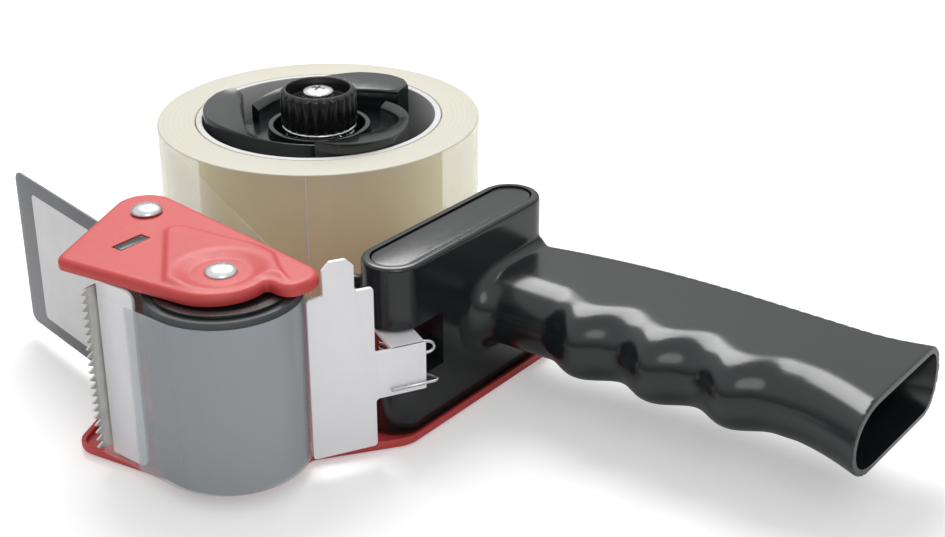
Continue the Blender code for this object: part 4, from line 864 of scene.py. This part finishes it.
# The knob's skin as (inset from its radius, drop below its top, share of the ribs' depth)
KNOB_SKIN = [(0.0, 1.5, 1.0), (0.35, 0.8, 0.6), (0.9, 0.25, 0.15), (1.4, 0.0, 0.0), (1.9, 0.05, 0.0),
             (2.1, 0.4, 0.0), (2.3, 4.2, 0.0), (2.8, KNOB_RECESS, 0.0)]
SCREW_RADIUS = 5.05
SCREW_CROWN = 1.3
SCREW_SEAT = 2.5
SCREW_SHANK = 1.8
CROSS_HALF = (2.4, 0.45)
CROSS_DEPTH = 1.1


def knob():
    """The ribbed knob and the screw in its hollow top."""
    bottom = KNOB_TOP - KNOB_HEIGHT
    levels = [(KNOB_RADIUS - 2.0, bottom, 0.0), (KNOB_RADIUS - 0.5, bottom, 0.2),
              (KNOB_RADIUS, bottom + 0.5, 1.0)]
    levels += [(KNOB_RADIUS - inset, KNOB_TOP - drop, ribs) for inset, drop, ribs in KNOB_SKIN]
    levels += [(KNOB_BORE, KNOB_TOP - KNOB_RECESS, 0.0), (KNOB_BORE, bottom, 0.0)]
    angles = [2 * math.pi * k / (KNOB_RIBS * RIB_STEPS) for k in range(KNOB_RIBS * RIB_STEPS)]
    rings = []
    for out, z, ribs in levels:
        ring = []
        for angle in angles:
            wave = abs(math.sin(KNOB_RIBS / 2 * angle)) ** 0.8
            reach = out - RIB_DEPTH * ribs * (1 - wave)
            ring.append((reach * math.cos(angle), reach * math.sin(angle), z))
        rings.append(ring)
    piece("tension_knob_dressed", lofted(rings, closed=True), "knob", [BLACK_SATIN],
          ["tension_knob"], 30.0)

    seat = KNOB_TOP - SCREW_SEAT
    head = lathe(dome(SCREW_RADIUS, KNOB_TOP - SCREW_CROWN, SCREW_CROWN)
                 + [(SCREW_RADIUS, seat), (SCREW_SHANK, seat), (SCREW_SHANK, bottom), (0.0, bottom)],
                 steps=48)
    along, across = CROSS_HALF
    arms = [moved(slab(box_outline(-along, -across, along, across), KNOB_TOP - CROSS_DEPTH,
                       KNOB_TOP + 0.5), math.radians(turn)) for turn in (20.0, 110.0)]
    head = combined(head, "DIFFERENCE", *arms)
    piece("knob_screw_dressed", head, "frame", [STEEL], ["knob_screw"], 40.0)


# ---------------------------------------------------------------- handle

GRIP_ROOT = BLOCK_X + BLOCK_HALF
GRIP_END = 215.0
GRIP_MIDDLE = 26.9
GRIP_HALF = 11.3
GRIP_TAPER = 0.5
FRONT_REACH = 14.0
BACK_REACH = 8.0
ROUNDNESS = 2.2
SIDE_BLEND = 3.0
FRONT_BLEND = 8.0
FLARE_RUN = 20.0
RIDGES = 3
RIDGE_FIRST = 131.5
RIDGE_PITCH = 23.0
RIDGE_DEPTH = 4.8
# Front and back of the grip at its root, with their rise and their flare at its end
FINGER_Y = -43.7
FINGER_RISE = 3.3
FINGER_FLARE = 6.4
PALM_Y = 1.6
PALM_DROP = 8.8
PALM_RUN = 68.0
PALM_FLARE = 3.6
# Serrations of the spine: where they run, and half their width as a share of the pitch
SPINE_LOW = 136.0
SPINE_HIGH = 209.0
SERRATIONS = 20
SERRATION_FIRST = 138.0
SERRATION_PITCH = 3.5
SERRATION_DEPTH = 0.75
SERRATION_SHARE = 0.22
SPINE_FACING = 0.25
# The cavities: the grip's hollow, the lid's recess and the clevis slot; and the nub beside the lid
HOLLOW_START = 112.0
GRIP_WALL = 2.0
RECESS_INSET = 2.4
RECESS_LEVEL = 50.2
LID_INSET = 2.75
LID_LEVEL = 50.25
SLOT_LOW = 18.5
SLOT_HIGH = 34.4
SLOT_END = -58.3
CLEAR = 12.0
NUB_OUT = 1.1
NUB_Y = (-75.0, -73.0)
NUB_Z = (43.0, 46.6)


def ramp(value):
    """A share of the way along, held between none and all."""
    return min(max(value, 0.0), 1.0)


def hollow_curve(distance, radius):
    """How far a concave rounding still stands off at a distance from its wall."""
    rest = radius - min(max(distance, 0.0), radius)
    return radius - math.sqrt(radius ** 2 - rest ** 2)


def finger_edge(x):
    """The front of the grip at one station, with its finger ridges and the flare at its end."""
    along = ramp((x - GRIP_ROOT) / (GRIP_END - FLARE_RUN - GRIP_ROOT))
    flare = ramp((x - GRIP_END + FLARE_RUN) / FLARE_RUN) ** 1.5
    edge = FINGER_Y + FINGER_RISE * along - FINGER_FLARE * flare
    phase = (x - RIDGE_FIRST) / RIDGE_PITCH + 0.5
    if 0.0 < phase < RIDGES:
        edge -= RIDGE_DEPTH * (1 - math.cos(2 * math.pi * phase)) / 2
    return edge


def palm_edge(x):
    """The back of the grip at one station, rising from the block and flared at its end."""
    along = ramp((x - GRIP_ROOT) / PALM_RUN)
    flare = ramp((x - GRIP_END + FLARE_RUN) / FLARE_RUN) ** 2
    return PALM_Y - PALM_DROP * (1 - along) ** 2.2 + PALM_FLARE * flare


def grip_ring(x, inset, detail):
    """One station of the grip: a steep rounded front, flat sides and a rounded back."""
    along = ramp((x - GRIP_ROOT) / (GRIP_END - GRIP_ROOT))
    half = GRIP_HALF - GRIP_TAPER * along - inset
    front_reach = FRONT_REACH - inset
    back_reach = BACK_REACH - inset
    if not inset:
        half += hollow_curve(x - GRIP_ROOT, SIDE_BLEND)
        front_reach += hollow_curve(x - GRIP_ROOT, FRONT_BLEND)
    places = []
    for side, centre, reach in ((-1, finger_edge(x) + FRONT_REACH, front_reach),
                                (1, palm_edge(x) - BACK_REACH, back_reach)):
        for k in range(detail + 1):
            angle = math.pi * k / detail
            rise = math.copysign(abs(math.cos(angle)) ** (2 / ROUNDNESS), -side * math.cos(angle))
            spread_out = max(math.sin(angle), 0.0) ** (2 / ROUNDNESS)
            places.append((x, centre + side * reach * spread_out, GRIP_MIDDLE + half * rise))
    return places


def stadium(inset, low, high, edge=0.0):
    """The block's plan, a bar with two round ends, as a solid."""
    left, right = BLOCK_X - BLOCK_HALF, BLOCK_X + BLOCK_HALF
    corners = [(left, BLOCK_NEAR, BLOCK_HALF), (right, BLOCK_NEAR, BLOCK_HALF),
               (right, BLOCK_FAR, BLOCK_HALF), (left, BLOCK_FAR, BLOCK_HALF)]
    outline = []
    for point in rounded(corners, inset, math.radians(6)):
        if not outline or math.dist(point, outline[-1]) > 0.01:
            outline.append(point)
    if math.dist(outline[0], outline[-1]) < 0.01:
        outline.pop()
    return slab(outline, low, high, edge)


def handle():
    """The moulded handle: the slotted block and the grip, blended, then cut open."""
    block = stadium(0.0, PLATE + FIT, TAPE_TOP, 1.0)
    grip = lofted([grip_ring(BLOCK_X + (GRIP_END - BLOCK_X) * k / 250, 0.0, 24) for k in range(251)])
    left = BLOCK_X - BLOCK_HALF
    nub = slab(box_outline(left - NUB_OUT, NUB_Y[0], left + 2.0, NUB_Y[1]), *NUB_Z)
    voxel = 0.5
    body = evaluated(joined(block, grip, nub), ("REMESH", {"mode": "VOXEL", "voxel_size": voxel}),
                     ("SMOOTH", {"factor": 0.5, "iterations": 8}))
    for vertex in body.vertices:
        facing = vertex.normal.y - SPINE_FACING
        phase = (vertex.co.x - SERRATION_FIRST) / SERRATION_PITCH
        if facing > 0 and SPINE_LOW < vertex.co.x < SPINE_HIGH and 0.0 < phase < SERRATIONS:
            cut = max(0.0, 1 - abs((phase % 1.0) - 0.5) / SERRATION_SHARE)
            vertex.co.y -= SERRATION_DEPTH * cut * min(1.0, facing * 2.5)
    run = GRIP_END + 2.0 - HOLLOW_START
    hollow = lofted([grip_ring(HOLLOW_START + run * k / 60, GRIP_WALL, 16) for k in range(61)])
    recess = stadium(RECESS_INSET, RECESS_LEVEL, TAPE_TOP + 2.0)
    slot = slab(box_outline(BLOCK_X - CLEAR, BLOCK_NEAR - CLEAR, BLOCK_X + CLEAR, SLOT_END),
                SLOT_LOW, SLOT_HIGH)
    (low_x, high_x), (low_y, high_y), (_, high) = LUG
    lug = slab(box_outline(low_x - FIT, low_y - FIT, high_x + FIT, high_y + FIT), 0.0, high + FIT)
    body = combined(body, "DIFFERENCE", hollow, recess, slot, lug)
    piece("handle_body_dressed", body, "frame", [BLACK], ["handle_body"], 32.0)
    lid = stadium(LID_INSET, LID_LEVEL, TAPE_TOP - 0.35, 0.35)
    piece("handle_lid_dressed", lid, "frame", [BLACK], ["handle_lid"], 40.0)


# ---------------------------------------------------------------- gate

# The gate's sheet, with run measured from its pin: its edges, its tab and its ears
GATE_LEFT = -27.95
GATE_RIGHT = -9.75
GATE_LOW = 5.2
GATE_HIGH = 52.7
GATE_OUT = 12.8
GATE_TAB = (-23.55, -14.95)
GATE_TAB_TOP = 62.2
GATE_TAB_CUT = 2.2
EAR_LOW = 19.5
EAR_HIGH = 33.4
EAR_HALF = 4.75
SPRING_WIRE = 0.9
SPRING_OUT = 11.6
# The end of the spring's wire as (run, height)
SPRING_LOOP = [(2.5, 33.1), (4.2, 33.0), (6.2, 32.7), (7.6, 31.8), (7.9, 30.6), (7.0, 29.5), (5.2, 29.3)]


def gate():
    """The bright gate with its tab, arm and ears, and the wire of its spring."""
    near, far = GATE_TAB
    corner, side = GATE_TAB_TOP - GATE_TAB_CUT, GATE_TAB_CUT
    outline = rounded([
        (GATE_LEFT, GATE_LOW, 1.0), (GATE_RIGHT, GATE_LOW, 1.0), (GATE_RIGHT, EAR_LOW, 1.0),
        (EAR_HALF, EAR_LOW, 0.3), (EAR_HALF, EAR_HIGH, 0.3), (GATE_RIGHT, EAR_HIGH, 1.0),
        (GATE_RIGHT, GATE_HIGH, 1.0), (far, GATE_HIGH, 1.0), (far, corner, 0.4),
        (far - side, GATE_TAB_TOP, 0.4), (near + side, GATE_TAB_TOP, 0.4), (near, corner, 0.4),
        (near, GATE_HIGH, 1.0), (GATE_LEFT, GATE_HIGH, 1.0)])
    sheet = slab(outline, -PLATE / 2, PLATE / 2, 0.15, 2)
    sheet.transform(Matrix.Translation((*PIN, 0.0)) @ Matrix.Rotation(GATE_TURN, 4, "Z")
                    @ Matrix.Rotation(math.pi / 2, 4, "X") @ Matrix.Translation((0.0, 0.0, GATE_OUT)))
    made = [sheet]
    for level in (EAR_LOW, EAR_HIGH - PLATE):
        ear = slab(rounded([(-EAR_HALF, -GATE_OUT - 0.1, 0.0), (EAR_HALF, -GATE_OUT - 0.1, 0.0),
                            (EAR_HALF, EAR_HALF, 4.7), (-EAR_HALF, EAR_HALF, 4.7)]),
                   level, level + PLATE, 0.15, 2)
        made.append(moved(ear, GATE_TURN, (*PIN, 0.0)))
    piece("gate_plate_dressed", joined(*made), "gate", [BRIGHT], ["gate_plate"])
    across = Vector((math.cos(GATE_TURN), math.sin(GATE_TURN), 0.0))
    forward = Vector((math.sin(GATE_TURN), -math.cos(GATE_TURN), 0.0)) * SPRING_OUT
    route = softened([Vector((*PIN, z)) + across * run + forward for run, z in SPRING_LOOP])
    piece("gate_spring_end", tube(route, SPRING_WIRE), "gate", [STEEL])


# ---------------------------------------------------------------- carried nodes and studio

CARRIED = ("hub_stud", "friction_washer", "spring_seat_washer", "pressure_washer", "hub_spring",
           "handle_screw_1", "handle_screw_2", "gate_spring", "gate_pin", "roller_core")


def carried():
    """Paints the CAD nodes that stay: washers, stud, screws, pin, springs and the roller's core."""
    for name in CARRIED:
        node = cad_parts[name]
        node.data.materials.clear()
        node.data.materials.append(BLACK_SATIN if name == "roller_core" else STEEL)
        weld = node.modifiers.new("weld", "WELD")
        weld.merge_threshold = 1e-6
        node.data.shade_smooth()
        node.data.set_sharp_from_angle(angle=math.radians(40))


# Lamps as (name, place, width, energy), in metres and watts
LAMPS = [("key", (-0.35, 0.35, 0.75), 0.6, 6.0), ("fill", (0.55, -0.45, 0.6), 0.5, 1.2)]
LAMP_TARGET = Vector((0.0, 0.0, 0.02))
FLOOR_WIDTH = 12.0
FLOOR_DROP = 0.0002
FLOOR_GLOW = 0.34
DIFFUSE_STRENGTH = 0.5


def chosen(tree, ray, other, value):
    """One value for a kind of ray, and another for the rest."""
    node = tree.nodes.new("ShaderNodeMix")
    for name, given in (("Factor", ray), ("A", other), ("B", value)):
        plug(tree, node.inputs[name], given)
    return node.outputs["Result"]


def studio():
    """Floor, world, lamps and the camera at the photograph's angle."""
    bpy.ops.mesh.primitive_plane_add(size=FLOOR_WIDTH, location=(0.0, 0.0, -FLOOR_DROP))
    floor = bpy.context.active_object
    floor.name = "floor"
    made, tree, shader = tree_of("pale_floor")
    shader.inputs["Base Color"].default_value = (0.80, 0.80, 0.80, 1.0)
    shader.inputs["Roughness"].default_value = 0.9
    shader.inputs["Specular IOR Level"].default_value = 0.0
    rays = tree.nodes.new("ShaderNodeLightPath")
    glow = add(tree, "ShaderNodeEmission", Color=(1.0, 1.0, 1.0, 1.0))
    lift = add(tree, "ShaderNodeMath")
    lift.operation = "MULTIPLY"
    plug(tree, lift.inputs[0], rays.outputs["Is Camera Ray"])
    lift.inputs[1].default_value = FLOOR_GLOW
    plug(tree, glow.inputs["Strength"], lift.outputs[0])
    both = tree.nodes.new("ShaderNodeAddShader")
    tree.links.new(shader.outputs[0], both.inputs[0])
    tree.links.new(glow.outputs[0], both.inputs[1])
    tree.links.new(both.outputs[0], tree.nodes["Material Output"].inputs["Surface"])
    floor.data.materials.append(made)

    world = bpy.data.worlds.new("studio")
    bpy.context.scene.world = world
    world.use_nodes = True
    tree = world.node_tree
    back = tree.nodes["Background"]
    rays = tree.nodes.new("ShaderNodeLightPath")
    toward = tree.nodes.new("ShaderNodeTexCoord").outputs["Generated"]
    height = add(tree, "ShaderNodeSeparateXYZ", Vector=toward).outputs["Z"]
    mirrored = spread(tree, height, 0.22, 0.95, 0.02, 0.50)
    diffuse = chosen(tree, rays.outputs["Is Diffuse Ray"], 1.0, DIFFUSE_STRENGTH)
    tree.links.new(chosen(tree, rays.outputs["Is Glossy Ray"], diffuse, mirrored),
                   back.inputs["Strength"])
    back.inputs["Color"].default_value = (1.0, 1.0, 1.0, 1.0)

    for name, spot, size, energy in LAMPS:
        lamp = bpy.data.lights.new(name, "AREA")
        lamp.shape = "DISK"
        lamp.size = size
        lamp.energy = energy
        holder = bpy.data.objects.new(name, lamp)
        holder.location = spot
        holder.rotation_euler = (LAMP_TARGET - Vector(spot)).to_track_quat("-Z", "Y").to_euler()
        bpy.context.scene.collection.objects.link(holder)

    lens = bpy.data.cameras.new("camera")
    lens.lens = CAMERA_LENS
    lens.sensor_width = 36.0
    lens.sensor_fit = "HORIZONTAL"
    lens.clip_start = 0.01
    camera = bpy.data.objects.new("camera", lens)
    camera.location = CAMERA_SPOT
    camera.rotation_euler = (math.radians(CAMERA_TILT), 0.0, math.radians(CAMERA_HEADING))
    bpy.context.scene.collection.objects.link(camera)
    bpy.context.scene.camera = camera
    bpy.context.scene.view_settings.view_transform = "Standard"


def main():
    """Builds every piece round the frame, then the studio."""
    plates()
    rivets()
    roller()
    head_sheets()
    tape()
    hub()
    knob()
    handle()
    gate()
    carried()
    studio()


main()
